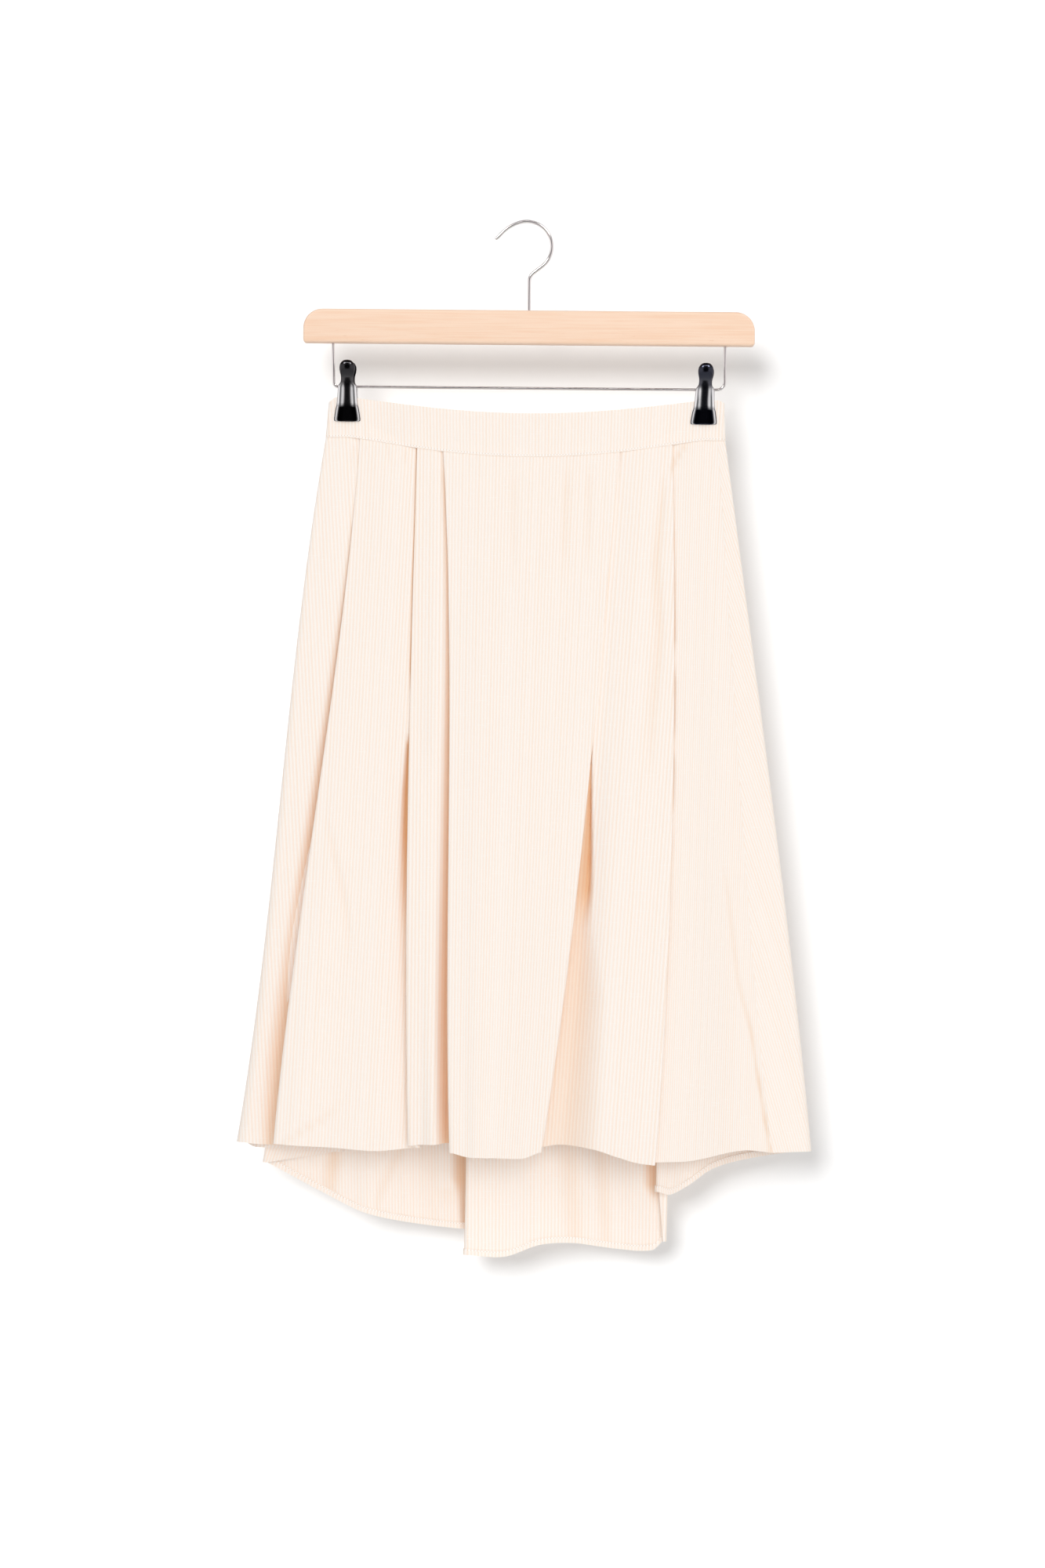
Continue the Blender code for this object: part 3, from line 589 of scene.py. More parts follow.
def woven_stripes():
    """Masks of the stripes, of single stripes that differ and of the slubs, and the height of the weave."""
    tree, given, out = new_group("woven stripes", {"Repeat": 0.003}, ("Stripe", "Differs", "Slub", "Height"))
    place = node(tree, "ShaderNodeUVMap", uv_map="cloth").outputs["UV"]
    apart = node(tree, "ShaderNodeSeparateXYZ", {"Vector": place})
    wobble = node(tree, "ShaderNodeTexNoise", {"Vector": place, "Scale": 140.0, "Detail": 2.0})
    shift = maths(tree, "MULTIPLY", maths(tree, "SUBTRACT", wobble.outputs["Fac"], 0.5), STRIPE_WOBBLE * MM)
    across = maths(tree, "DIVIDE", maths(tree, "ADD", apart.outputs["X"], shift), given.outputs["Repeat"])
    within = maths(tree, "PINGPONG", across, 0.5)
    stripe = smooth_range(tree, within, 0.17, 0.33)
    count = maths(tree, "FLOOR", across)
    differs = node(tree, "ShaderNodeTexWhiteNoise", {"W": count}, noise_dimensions="1D").outputs["Value"]
    long_place = node(tree, "ShaderNodeMapping", {"Vector": place, "Scale": (SLUBS_ACROSS, SLUBS_DOWN, 0.0)})
    slubs = node(tree, "ShaderNodeTexNoise", {"Vector": long_place.outputs[0], "Scale": 1.0, "Detail": 3.0})
    slub = smooth_range(tree, slubs.outputs["Fac"], 0.6, 0.72)
    warp = maths(tree, "SINE", maths(tree, "MULTIPLY", apart.outputs["X"], WARP_RADIANS))
    weft = maths(tree, "SINE", maths(tree, "MULTIPLY", apart.outputs["Y"], WEFT_RADIANS))
    weave = maths(tree, "MULTIPLY", warp, weft)
    height = maths(tree, "ADD", maths(tree, "MULTIPLY", weave, 0.25), maths(tree, "ADD", slub, stripe))
    for name, value in (("Stripe", stripe), ("Differs", differs), ("Slub", slub), ("Height", height)):
        tree.links.new(value, out.inputs[name])
    return tree


def mixed(tree, share, first, second, blend="MIX"):
    """The colour a share of the way from the first to the second."""
    made = node(tree, "ShaderNodeMix", {"Factor": share}, data_type="RGBA", blend_type=blend)
    for socket, value in ((made.inputs[6], first), (made.inputs[7], second)):
        if isinstance(value, bpy.types.NodeSocket):
            tree.links.new(value, socket)
        else:
            socket.default_value = (*value, 1.0)
    return made.outputs[2]


def new_finish(name, values):
    """A new material whose main shader has these uniform values."""
    made = bpy.data.materials.new(name)
    made.use_nodes = True
    shader = made.node_tree.nodes["Principled BSDF"]
    for socket, value in values.items():
        shader.inputs[socket].default_value = value
    return made


def striped_cotton(name):
    """The cloth's material: peach stripes on cream, with warm shade painted where layers shade each other."""
    made = new_finish(name, {"Roughness": 0.85, "Specular IOR Level": 0.2, "Sheen Weight": 0.15})
    tree = made.node_tree
    shader = tree.nodes["Principled BSDF"]
    stripes = node(tree, "ShaderNodeGroup", {}, node_tree=stripes_group)
    stripes.inputs["Repeat"].default_value = STRIPE_REPEAT * MM
    outs = stripes.outputs
    uneven = maths(tree, "ADD", maths(tree, "MULTIPLY", outs["Differs"], 0.35), 0.65)
    colour = mixed(tree, maths(tree, "MULTIPLY", outs["Stripe"], uneven), CREAM, PEACH)
    colour = mixed(tree, maths(tree, "MULTIPLY", outs["Slub"], 0.5), colour, SLUB_PALE)
    # Deep in folds and creases a warm shade is painted into the colour.
    painted_fold_shade = node(tree, "ShaderNodeAttribute", attribute_name="painted_fold_shade").outputs["Fac"]
    colour = mixed(tree, painted_fold_shade, colour, mixed(tree, 1.0, colour, PAINTED_SHADE_TINT, "MULTIPLY"))
    away = node(tree, "ShaderNodeAttribute", attribute_name="to_stitches").outputs["Fac"]
    on_line = maths(tree, "LESS_THAN", maths(tree, "ABSOLUTE", away), STITCH_HALF)
    place = node(tree, "ShaderNodeUVMap", uv_map="cloth").outputs["UV"]
    along_line = node(tree, "ShaderNodeSeparateXYZ", {"Vector": place}).outputs["X"]
    stitches = maths(tree, "PINGPONG", maths(tree, "DIVIDE", along_line, STITCH_PITCH * MM), 0.5)
    sewn = mixed(tree, maths(tree, "GREATER_THAN", stitches, 0.17), THREAD_GAP, THREAD)
    tree.links.new(mixed(tree, on_line, colour, sewn), shader.inputs["Base Color"])
    bump = node(tree, "ShaderNodeBump", {"Height": outs["Height"], "Strength": 0.25, "Distance": 0.0002})
    tree.links.new(bump.outputs["Normal"], shader.inputs["Normal"])
    return made


stripes_group = woven_stripes()
cotton = striped_cotton("striped cotton")


def dress(piece, finish, slot_name, *nodes):
    """Gives a piece its finish, and fixes it to the hanging whole in place of the named solids."""
    piece.data.materials.clear()
    piece.data.materials.append(finish)
    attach(piece, "root")
    if nodes:
        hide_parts(*nodes)


dress(front, cotton, "cotton", "skirt_front")


# The back panel is wider and longer, so its hem dips below the front one. It wraps round the right side fold
# to meet the front panel at the side seam, and is folded into three deeper pleats.
BACK_OPEN = (0.6, 0.75, 0.85, 0.9, 1.0, 1.0, 1.0)
BACK_PLEATS = (
    Pleat("back_left", "left", (-148, -172, -192, -217.8), 14, 67, -1, -1, 780, 784, 793.5, 829.5, BACK_OPEN),
    Pleat("back_centre", "right", (-30, -26, -20, -15.7), 16, 31.5, -1, -1, 872, 871, 853, 850, BACK_OPEN),
    Pleat("back_right", "right", (106, 114, 122, 123.5), 14, 9, -1, -1, 818, 816, 858.6, 866.5, BACK_OPEN),
)
BACK_CRESTS = (
    Crest("side", 0.5, 0.5, 0.0, -0.3, 779.0),
    Crest("back_left", 0.22, 0.22, 1.0, 0.4, 838.0),
    Crest("back_left", 0.6, 0.6, 0.9, 1.7, 846.0),
    Crest("back_centre", 0.22, 0.24, -0.5, -1.6, 861.3),
    Crest("back_centre", 0.45, 0.46, 0.0, -0.6, 860.3),
    Crest("back_centre", 0.74, 0.74, 0.6, 1.5, 865.8),
    Crest("back_right", 0.12, 0.12, -0.9, -1.2, 811.0),
    Crest("back_right", 0.32, 0.32, -0.6, -0.3, 796.0),
    Crest("back_right", 0.6, 0.6, -0.3, -0.4, 786.5),
)
BACK_LEANS = ((3.0, 3.0), (3.0, 0.5), (0.0, 0.0), (-4.0, -8.0))


def back_runs(share):
    """The back panel's runs: from the left side fold round the right one to the seam."""
    side = mix(SIDE_WAIST, SIDE_HEM, share)
    far = along(RIGHT_EDGE, share) - side
    seam = along(RIGHT_SEAM, share) + SEAM_GAP / 2
    first = key(along(LEFT_EDGE, share) + side, share, 0, SIDE_HEM_LEFT, 1)
    last = key(far, share, 0, SIDE_HEM_RIGHT, 1)
    wrapped = [
        key(far, share, 0, SIDE_HEM_RIGHT, -1),
        key(seam, share, 0, SEAM_HEM_RIGHT, -1),
    ]
    return [*panel_runs(BACK_PLEATS, BACK_CRESTS, first, last, share, 1), wrapped]


BACK_HOLLOWS = (
    (0, ((186, 2, 0, 0, 0.3, 0.2), (260, 4, 0.1, 0, 1.4, 0.4), (420, 9, 0.1, 0, 3.6, 0.55),
         (600, 14, 0.1, 0, 5, 0.6), (700, 12, 0.1, 0, 3, 0.4), (745, 10, 0.1, 0, 0, 0.1))),
    (2, ((186, 1.5, 0, 0, 0.3, 0.3), (330, 2, 0.2, 0, 0.9, 0.6), (430, 5, 0.3, 0.3, 4, 0.85),
         (520, 9, 0.4, 0.3, 6, 0.8), (640, 16, 0.1, 0, 4.5, 0.45), (700, 18, 0.1, 0, 2, 0.3),
         (750, 18, 0.1, 0, 0, 0.1))),
    (3, ((186, 2, 0, 0, 0.3, 0.2), (300, 4, 0.1, 0, 1.2, 0.4), (480, 6, 0.1, 0, 2.4, 0.5),
         (640, 8, 0.1, 0, 3, 0.5), (745, 8, 0.1, 0, 0, 0.1))),
)

# The creases seen below the front hem have their painted shade on the back panel's inside, the others
# outside.
BACK_INSIDE_CREASES = (
    (1, ((756, -49.5, 9.2, 19.8, 0, 0), (783, -50.6, 10.6, 22.4, 4, 0.66),
         (808, -50.4, 10.6, 22.4, 4, 0.66), (822, -48.9, 6.6, 21.1, 3, 0.5),
         (849, -47.4, 5.3, 19.8, 2, 0.42), (863, -45.3, 4.6, 19.8, 1.4, 0.3))),
    (1, ((799, -65, 17.2, 19.8, 0, 0), (810, -63.6, 17.2, 19.8, -2, 0), (820, -63.5, 17.2, 19.8, 1.4, 0.1),
         (833, -63.4, 17.2, 19.8, 0, 0))),
    (1, ((771, -100.2, 5.9, 5.9, 0, 0), (783, -103.4, 5.9, 7.9, 1, 0.13), (813, -117, 5.9, 7.9, 1.1, 0.13),
         (830, -121.5, 5.3, 5.9, 0.5, 0.08), (843, -123.3, 5.3, 5.3, 0, 0))),
    (1, ((771, -157.6, 9.2, 9.2, 0, 0), (788, -158.8, 10.6, 10.6, 1.5, 0.34),
         (807, -161.3, 10.6, 10.6, 1.5, 0.28), (827, -162.4, 9.2, 9.2, 0.8, 0.15),
         (847, -163.6, 7.9, 7.9, 0, 0))),
    (1, ((757, -82.5, 11.9, 11.9, 0, 0), (786, -78.9, 13.2, 11.9, 0.8, 0.08),
         (842, -76.5, 11.9, 11.9, 0.5, 0.05), (856, -76.4, 7.9, 7.9, 0, 0))),
    (2, ((756, 37.6, 13.2, 13.2, 0, 0), (789, 40.5, 14.5, 13.2, 1.3, 0.16),
         (841, 45, 14.5, 13.2, 1.2, 0.15), (864, 46.5, 13.2, 13.2, 0.8, 0.12))),
    (2, ((755, 65.3, 7.9, 9.2, 0, 0), (788, 68.3, 9.2, 9.2, 0.9, 0.15), (841, 71.4, 9.2, 9.2, 0.9, 0.14),
         (868, 72.9, 7.9, 7.9, 0.6, 0.1))),
    (2, ((755, 112.2, 9.2, 17.2, 0, 0), (781, 112.4, 10.6, 18.5, 3.5, 0.6),
         (812, 112.7, 10.6, 18.5, 3.5, 0.6), (822, 113.4, 5.9, 17.2, 1, 0.15),
         (833, 114.9, 5.3, 13.2, 0, 0))),
)
BACK_CREASES = (
    (1, ((250, -90, 8, 8, 0, 0), (340, -92, 12, 14, -1.2, 0.1), (520, -98, 16, 18, -2.2, 0.12),
         (700, -104, 14, 16, 0, 0))),
    (2, ((220, 30, 8, 8, 0, 0), (360, 34, 14, 12, -1.4, 0.12), (560, 42, 18, 16, -2, 0.1),
         (720, 48, 14, 14, 0, 0))),
    (3, ((300, 150, 8, 8, 0, 0), (430, 156, 12, 10, -1.1, 0.1), (600, 164, 14, 14, -1.5, 0.1),
         (730, 170, 12, 12, 0, 0))),
    (3, SEAM_PUCKERS),
)


back_grid, back_parts = panel_grid(back_runs, BACK_PLEATS, 1)
back = hung_panel(
    "back_panel", back_grid, back_parts, BACK_LEANS, 1, BACK_PLEATS,
    BACK_HOLLOWS, BACK_CREASES, BACK_INSIDE_CREASES,
)
dress(back, cotton, "cotton", "skirt_back")


# The waistband is a doubled strip of the same cloth in two halves, sewn to the panels along the waist seam.
# The clips pinch it flat at both ends and it stands a little open between them.
BAND_TOP_DROP, BAND_TOP_SAG = 148.0, 13.0
BAND_LEFT_TOP, BAND_RIGHT_TOP = -166.4, 164.6
CORNER_START, CORNER_RUN, CORNER_DROP = 160.0, 6.0, 4.0
JAWS = (-151.6, 148.1)
JAW_REACH, JAW_RELEASE, JAW_BITE = 13.0, 45.0, 0.62
BAND_CLOTH, BAND_ROLL = 2.0, 0.5
BAND_TALL, BAND_STITCHES = 34.0, 1.3
BAND_ROLL_FROM = 0.75
BAND_ROWS, BAND_STEPS = 24, 220


def band_top_drop(x):
    """Drop of the waistband's top edge, rounded off at the side folds."""
    corner = max(0.0, (abs(x) - CORNER_START) / CORNER_RUN)
    return BAND_TOP_DROP + BAND_TOP_SAG * sag(x) + CORNER_DROP * corner**2


def band_depth(x, share):
    """Half depth of the waistband: pinched flat in the clips' jaws, open towards the seam."""
    jaw = min(JAWS, key=lambda middle: abs(middle - x))
    clear = min(1.0, max(0.0, abs(jaw) - abs(x) - JAW_REACH) / JAW_RELEASE)
    clear = clear * clear * (3 - 2 * clear)
    low = max(0.0, (share - JAW_BITE) / (1 - JAW_BITE))
    return mix(SIDE_WAIST, depth(x, 0.0, 0), max(clear, low))


def band_grid(facing):
    """The rows of points of one half of the waistband, from its top edge to the waist seam."""
    rows = []
    for i in range(BAND_ROWS):
        share = i / (BAND_ROWS - 1)
        left = mix(BAND_LEFT_TOP, LEFT_EDGE[0], share)
        right = mix(BAND_RIGHT_TOP, RIGHT_EDGE[0], share)
        line = side_turn(left, SIDE_WAIST, facing, 0)
        for step in range(BAND_STEPS + 1):
            x = mix(left + SIDE_WAIST, right - SIDE_WAIST, step / BAND_STEPS)
            rolled = BAND_ROLL * max(0.0, (share - BAND_ROLL_FROM) / (1 - BAND_ROLL_FROM))
            line.append(Vector((x, facing * (band_depth(x, share) + rolled), 0)))
        line.extend(side_turn(right, -SIDE_WAIST, facing, 0)[::-1])
        for point in line:
            point.z = -mix(band_top_drop(point.x), seam_drop(point.x), share)
        rows.append(line)
    return np.array(rows)


for half, facing in (("front", -1), ("back", 1)):
    grid = band_grid(facing)
    strips = stripe_map(grid, [(0, grid.shape[1] - 1)], ((4.0, -4.0),))
    down = np.linspace(1, 0, BAND_ROWS)[:, None] * np.ones((1, grid.shape[1]))
    plain = np.zeros(grid.shape[:2])
    sheet = Sheet(grid, strips, plain, plain, down * BAND_TALL - BAND_STITCHES)
    band = cloth_shell(f"{half}_waistband", [sheet], facing, BAND_CLOTH)
    dress(band, cotton, "cotton", f"waistband_{half}")


# The bar is one planed length of pale beech with rounded shoulders and eased edges, lacquered to a satin, and
# drilled from above for the hook and from below for the two ends of the rail.
BAR_LENGTH, BAR_DEPTH, BAR_HEIGHT = 379.6, 13.0, 28.2
BAR_MIDDLE, BAR_TOP_DROP = 0.7, 74.1
SHOULDER_ROUND, FOOT_ROUND, RIM_ROUND = 16.0, 2.5, 2.0
HOOK_X, RAIL_LEFT, RAIL_RIGHT = 0.5, -164.5, 165.9
DRILLINGS = ((HOOK_X, -83, 22, 3.3), (RAIL_LEFT, -98, 12, 2.9), (RAIL_RIGHT, -98, 12, 2.9))
BEECH_PALE, BEECH_DARK, BEECH_FLECK = (0.965, 0.715, 0.545), (0.935, 0.64, 0.455), (0.72, 0.40, 0.22)


def settle(name):
    """Names the new piece, and puts its place and size into its mesh, with its origin at the world's."""
    bpy.ops.object.transform_apply(location=True, rotation=True, scale=True)
    made = bpy.context.object
    made.name = name
    return made


def pick(piece, kind, wanted):
    """Opens a piece for editing, with the vertices, edges or faces selected whose middle in mm is wanted."""
    bpy.ops.object.mode_set(mode="OBJECT")
    bpy.context.tool_settings.mesh_select_mode = (kind == "vertices", kind == "edges", kind == "polygons")
    mesh = piece.data
    for group in (mesh.vertices, mesh.edges, mesh.polygons):
        group.foreach_set("select", [False] * len(group))
    for item in getattr(mesh, kind):
        corners = [item.co] if kind == "vertices" else [mesh.vertices[i].co for i in item.vertices]
        middle = sum(corners, Vector()) / len(corners) / MM
        item.select = wanted(middle)
    bpy.ops.object.mode_set(mode="EDIT")


def finish_off(sharp):
    """Turns the open piece's faces outward, closes it and shades it smooth up to a sharp angle."""
    bpy.ops.mesh.select_all(action="SELECT")
    bpy.ops.mesh.normals_make_consistent(inside=False)
    bpy.ops.object.mode_set(mode="OBJECT")
    bpy.ops.object.shade_smooth_by_angle(angle=math.radians(sharp))


bar_foot = -BAR_TOP_DROP - BAR_HEIGHT
bpy.ops.object.select_all(action="DESELECT")
bpy.ops.mesh.primitive_cube_add(
    size=1,
    location=Vector((BAR_MIDDLE, 0, bar_foot + BAR_HEIGHT / 2)) * MM,
    scale=Vector((BAR_LENGTH, BAR_DEPTH, BAR_HEIGHT)) * MM,
)
bar = settle("beech_bar")
pick(bar, "edges", lambda at: abs(at.y) < 0.1 and at.z > -BAR_TOP_DROP - 0.1 and abs(at.x - BAR_MIDDLE) > 100)
bpy.ops.mesh.bevel(offset=SHOULDER_ROUND * MM, segments=12, affect="EDGES")
pick(bar, "edges", lambda at: abs(at.y) < 0.1 and at.z < bar_foot + 0.1 and abs(at.x - BAR_MIDDLE) > 100)
bpy.ops.mesh.bevel(offset=FOOT_ROUND * MM, segments=4, affect="EDGES")
pick(bar, "edges", lambda at: abs(at.y) > BAR_DEPTH / 2 - 0.1)
bpy.ops.mesh.bevel(offset=RIM_ROUND * MM, segments=4, affect="EDGES")
bpy.ops.object.mode_set(mode="OBJECT")
for x, z, reach, wide in DRILLINGS:
    bpy.ops.mesh.primitive_cylinder_add(
        vertices=24, radius=wide / 2 * MM, depth=reach * MM, location=Vector((x, 0, z)) * MM
    )
    drill = bpy.context.object
    hole = bar.modifiers.new("drilled hole", "BOOLEAN")
    hole.object = drill
    hole.solver = "EXACT"
    bpy.context.view_layer.objects.active = bar
    bpy.ops.object.modifier_apply(modifier=hole.name)
    bpy.data.objects.remove(drill)
bpy.ops.object.select_all(action="DESELECT")
bar.select_set(True)
bpy.ops.object.shade_smooth_by_angle(angle=math.radians(35))

beech = new_finish(
    "lacquered beech",
    {"Roughness": 0.45, "Specular IOR Level": 0.35, "Coat Weight": 0.15, "Coat Roughness": 0.3},
)
tree = beech.node_tree
shader = tree.nodes["Principled BSDF"]
where = node(tree, "ShaderNodeTexCoord").outputs["Object"]
long_grain = node(tree, "ShaderNodeMapping", {"Vector": where, "Scale": (5.0, 60.0, 190.0)}).outputs[0]
grain = node(
    tree, "ShaderNodeTexNoise", {"Vector": long_grain, "Scale": 4.0, "Detail": 5.0, "Distortion": 0.4}
).outputs["Fac"]
colour = mixed(tree, smooth_range(tree, grain, 0.35, 0.75), BEECH_PALE, BEECH_DARK)
short_marks = node(tree, "ShaderNodeMapping", {"Vector": where, "Scale": (60.0, 300.0, 700.0)}).outputs[0]
marks = node(tree, "ShaderNodeTexNoise", {"Vector": short_marks, "Scale": 2.0, "Detail": 2.0}).outputs["Fac"]
height = node(tree, "ShaderNodeSeparateXYZ", {"Vector": where}).outputs["Z"]
low = smooth_range(tree, maths(tree, "MULTIPLY", height, -1.0), (BAR_TOP_DROP + 12) * MM, -bar_foot * MM)
more_below = maths(tree, "ADD", maths(tree, "MULTIPLY", low, 0.5), 0.1)
fleck = maths(tree, "MULTIPLY", smooth_range(tree, marks, 0.66, 0.78), more_below)
tree.links.new(mixed(tree, fleck, colour, BEECH_FLECK), shader.inputs["Base Color"])
bump = node(tree, "ShaderNodeBump", {"Height": grain, "Strength": 0.12, "Distance": 0.0003})
tree.links.new(bump.outputs["Normal"], shader.inputs["Normal"])
dress(bar, beech, "beech", "hanger_bar")


# The hook is one length of bright steel wire: a straight shank pushed into the bar, a round bow over the rod,
# and a flared tip that is rounded off in short steps, each shrunk to a share of the last.
HOOK_WIRE = 2.7
HOOK_TIP = ((0.5, 0.93), (0.4, 0.82), (0.3, 0.6), (0.1, 0.4))


def wire_end(name, x, z, thickness):
    """The ring of points that a wire starts from, open for editing."""
    bpy.ops.object.select_all(action="DESELECT")
    bpy.ops.mesh.primitive_circle_add(vertices=20, radius=thickness / 2 * MM, location=Vector((x, 0, z)) * MM)
    made = settle(name)
    bpy.ops.object.mode_set(mode="EDIT")
    bpy.context.tool_settings.mesh_select_mode = (False, True, False)
    bpy.ops.mesh.select_all(action="SELECT")
    return made


def run_straight(x, z):
    """Draws the wire on by this much to the right and up."""
    bpy.ops.mesh.extrude_region_move(TRANSFORM_OT_translate={"value": (x * MM, 0, z * MM)})


def bend(x, z, degrees, steps):
    """Bends the wire on round a middle, to the left as seen from the front where the angle is above 0."""
    way = 1 if degrees > 0 else -1
    centre = Vector((x, 0, z)) * MM
    bpy.ops.mesh.spin(steps=steps, angle=math.radians(abs(degrees)), center=centre, axis=(0, way, 0))


def close_wire():
    """Closes both ends of a wire, and smooths it."""
    bpy.ops.mesh.select_all(action="SELECT")
    bpy.ops.mesh.fill_holes(sides=0)
    finish_off(40)


hook = wire_end("wire_hook", HOOK_X, -92.0, HOOK_WIRE)
run_straight(0, 42.9)
bend(9.5, -49.1, -52, 10)
run_straight(7.23, 5.62)
bend(-1.8, -19.75, 160, 40)
bend(2.8, -33.9, 32, 12)
bend(-32.44, -4.35, -20, 6)
tip = Vector((-27.44, 0, -13.01))
heading = Vector((math.cos(math.radians(210)), 0, math.sin(math.radians(210))))
for step, grown in HOOK_TIP:
    bpy.ops.mesh.extrude_region_move(TRANSFORM_OT_translate={"value": heading * step * MM})
    tip += heading * step
    bpy.ops.transform.resize(value=(grown, grown, grown), center_override=tip * MM)
close_wire()

steel = new_finish(
    "bright steel wire", {"Base Color": (0.80, 0.765, 0.76, 1), "Metallic": 1.0, "Roughness": 0.16}
)
dress(hook, steel, "chrome", "hanger_hook")


# The rail is thinner steel wire, bent square at both ends and pushed up into the bar. The clips slide on it.
RAIL_WIRE, RAIL_DROP = 2.3, 139.1

rail = wire_end("wire_rail", RAIL_LEFT, -93.5, RAIL_WIRE)
run_straight(1.3, -42.1)
bend(RAIL_LEFT + 4.8, -135.6, 90, 8)
run_straight(RAIL_RIGHT - 6.5 - RAIL_LEFT - 4.8, 0)
bend(RAIL_RIGHT - 6.5, -132.6, 90, 10)
run_straight(0, 39.1)
close_wire()
dress(rail, steel, "chrome", "hanger_rail")


# Each clip is two pressed and chromed plates, which a spring between them shuts on the waistband. Down a
# plate come a domed grip, a narrow neck, a fluted body and a wide jaw. The shine on the body and the jaw's
# rims is a painted reflection, and so is the dark of the rest of the chrome.
# A row's bright is how much painted white reflection it has; the rest of the chrome is painted dark.
PlateRow = namedtuple("PlateRow", "drop half_width crown bright")
PLATE_ROWS = (
    PlateRow(117.0, 2.2, 1.0, 0.02), PlateRow(118.3, 4.6, 2.5, 0.02), PlateRow(120.8, 6.3, 3.9, 0.02),
    PlateRow(123.7, 6.7, 4.3, 0.02), PlateRow(127.0, 6.3, 3.8, 0.02), PlateRow(129.6, 5.5, 2.9, 0.03),
    PlateRow(131.4, 5.3, 2.4, 0.06), PlateRow(136.2, 5.4, 2.3, 0.06), PlateRow(137.6, 7.6, 2.4, 0.5),
    PlateRow(139.4, 7.9, 2.5, 1.0), PlateRow(147.0, 8.3, 2.5, 1.0), PlateRow(153.6, 8.8, 2.3, 1.0),
    PlateRow(155.4, 9.1, 2.1, 0.5), PlateRow(156.8, 9.6, 2.0, 0.02), PlateRow(158.6, 10.0, 1.9, 0.02),
    PlateRow(166.4, 11.3, 1.7, 0.02), PlateRow(168.0, 11.1, 1.5, 0.02), PlateRow(168.8, 10.2, 1.2, 0.02),
)
PLATE_POINTS = 24
JAW_INNER, GRIP_SPREAD = 2.8, 0.17
BODY_TOP_DROP = 137.0
FLUTE_TOP_DROP, FLUTE_FOOT_DROP = 138.5, 155.0
FLUTE_DEEP, FLUTE_IN, FLUTE_HALF = 0.7, 4.2, 0.7

# Painted reflection on the body and the rims of the jaw, from their sides to their middle, point by point.
PAINTED_FLUTE_REFLECTION = (0.12, 0.5, 1.0, 0.3, 1.0, 0.1, 0.06)
PAINTED_RIM_REFLECTION = (0.0, 0.0, 0.8, 0.0, 0.0, 0.02, 0.02)


def plate_middle(row, facing, grip_x, jaw_x):
    """The middle of a row's inner side: the plates lean apart above the rail."""
    share = (row.drop - PLATE_ROWS[0].drop) / (PLATE_ROWS[-1].drop - PLATE_ROWS[0].drop)
    apart = JAW_INNER + GRIP_SPREAD * max(0.0, RAIL_DROP - row.drop)
    return Vector((mix(grip_x, jaw_x, share), facing * apart, -row.drop))


def clip_plate(name, facing, grip_x, jaw_x):
    """One plate of a clip, drawn down row by row from the top of its grip."""
    top = PLATE_ROWS[0]
    start = Vector((grip_x, 0, -top.drop)) * MM
    bpy.ops.object.select_all(action="DESELECT")
    bpy.ops.mesh.primitive_circle_add(
        vertices=PLATE_POINTS, radius=top.half_width * MM, location=start, rotation=(0, 0, math.radians(90))
    )
    plate = settle(name)
    pick(plate, "vertices", lambda at: facing * at.y < -0.01)
    bpy.ops.transform.resize(value=(1, 0, 1), center_override=start)
    bpy.ops.mesh.select_all(action="SELECT")
    bpy.ops.transform.resize(value=(1, top.crown / top.half_width, 1), center_override=start)
    at = plate_middle(top, facing, grip_x, jaw_x)
    bpy.ops.transform.translate(value=(0, at.y * MM, 0))
    bpy.context.tool_settings.mesh_select_mode = (False, True, False)
    for row, before in zip(PLATE_ROWS[1:], PLATE_ROWS):
        after = plate_middle(row, facing, grip_x, jaw_x)
        bpy.ops.mesh.extrude_region_move(TRANSFORM_OT_translate={"value": (after - at) * MM})
        grown = (row.half_width / before.half_width, row.crown / before.crown, 1)
        bpy.ops.transform.resize(value=grown, center_override=after * MM)
        at = after
    bpy.ops.mesh.select_all(action="SELECT")
    bpy.ops.mesh.fill_holes(sides=0)
    press_flutes(plate, facing, jaw_x)
    finish_off(50)
    # Each point of the plate gets its share of painted reflection.
    bright = plate.data.attributes.new("bright", "FLOAT", "POINT").data
    for vertex, value in zip(plate.data.vertices, bright):
        value.value = brightness(vertex.co / MM, facing, grip_x, jaw_x)
    swell = plate.modifiers.new("pressed form", "SUBSURF")
    swell.levels = 1
    swell.render_levels = 1
    bpy.ops.object.modifier_apply(modifier=swell.name)
    return plate


def press_flutes(plate, facing, jaw_x):
    """Presses the two flutes into the front of the plate's body."""

    def in_flute(at):
        """Whether a point is on the floor of a flute."""
        beside = abs(abs(at.x - jaw_x) - FLUTE_IN) < FLUTE_HALF
        return FLUTE_TOP_DROP < -at.z < FLUTE_FOOT_DROP and beside and facing * at.y > JAW_INNER + 1

    pick(plate, "vertices", in_flute)
    bpy.ops.transform.translate(value=(0, -facing * FLUTE_DEEP * MM, 0))


def brightness(at, facing, grip_x, jaw_x):
    """How much painted reflection the chrome has at a point of the plate."""
    row = min(PLATE_ROWS, key=lambda row: abs(row.drop + at.z))
    middle = plate_middle(row, facing, grip_x, jaw_x)
    across = min(1.0, abs(at.x - middle.x) / row.half_width)
    place = round(math.degrees(math.acos(across)) / 15)
    in_sight = facing * at.y > JAW_INNER + 0.3 or place == 0
    if row.drop < BODY_TOP_DROP or not in_sight:
        return row.bright
    return row.bright * PAINTED_FLUTE_REFLECTION[place] if row.bright > 0.1 else PAINTED_RIM_REFLECTION[place]


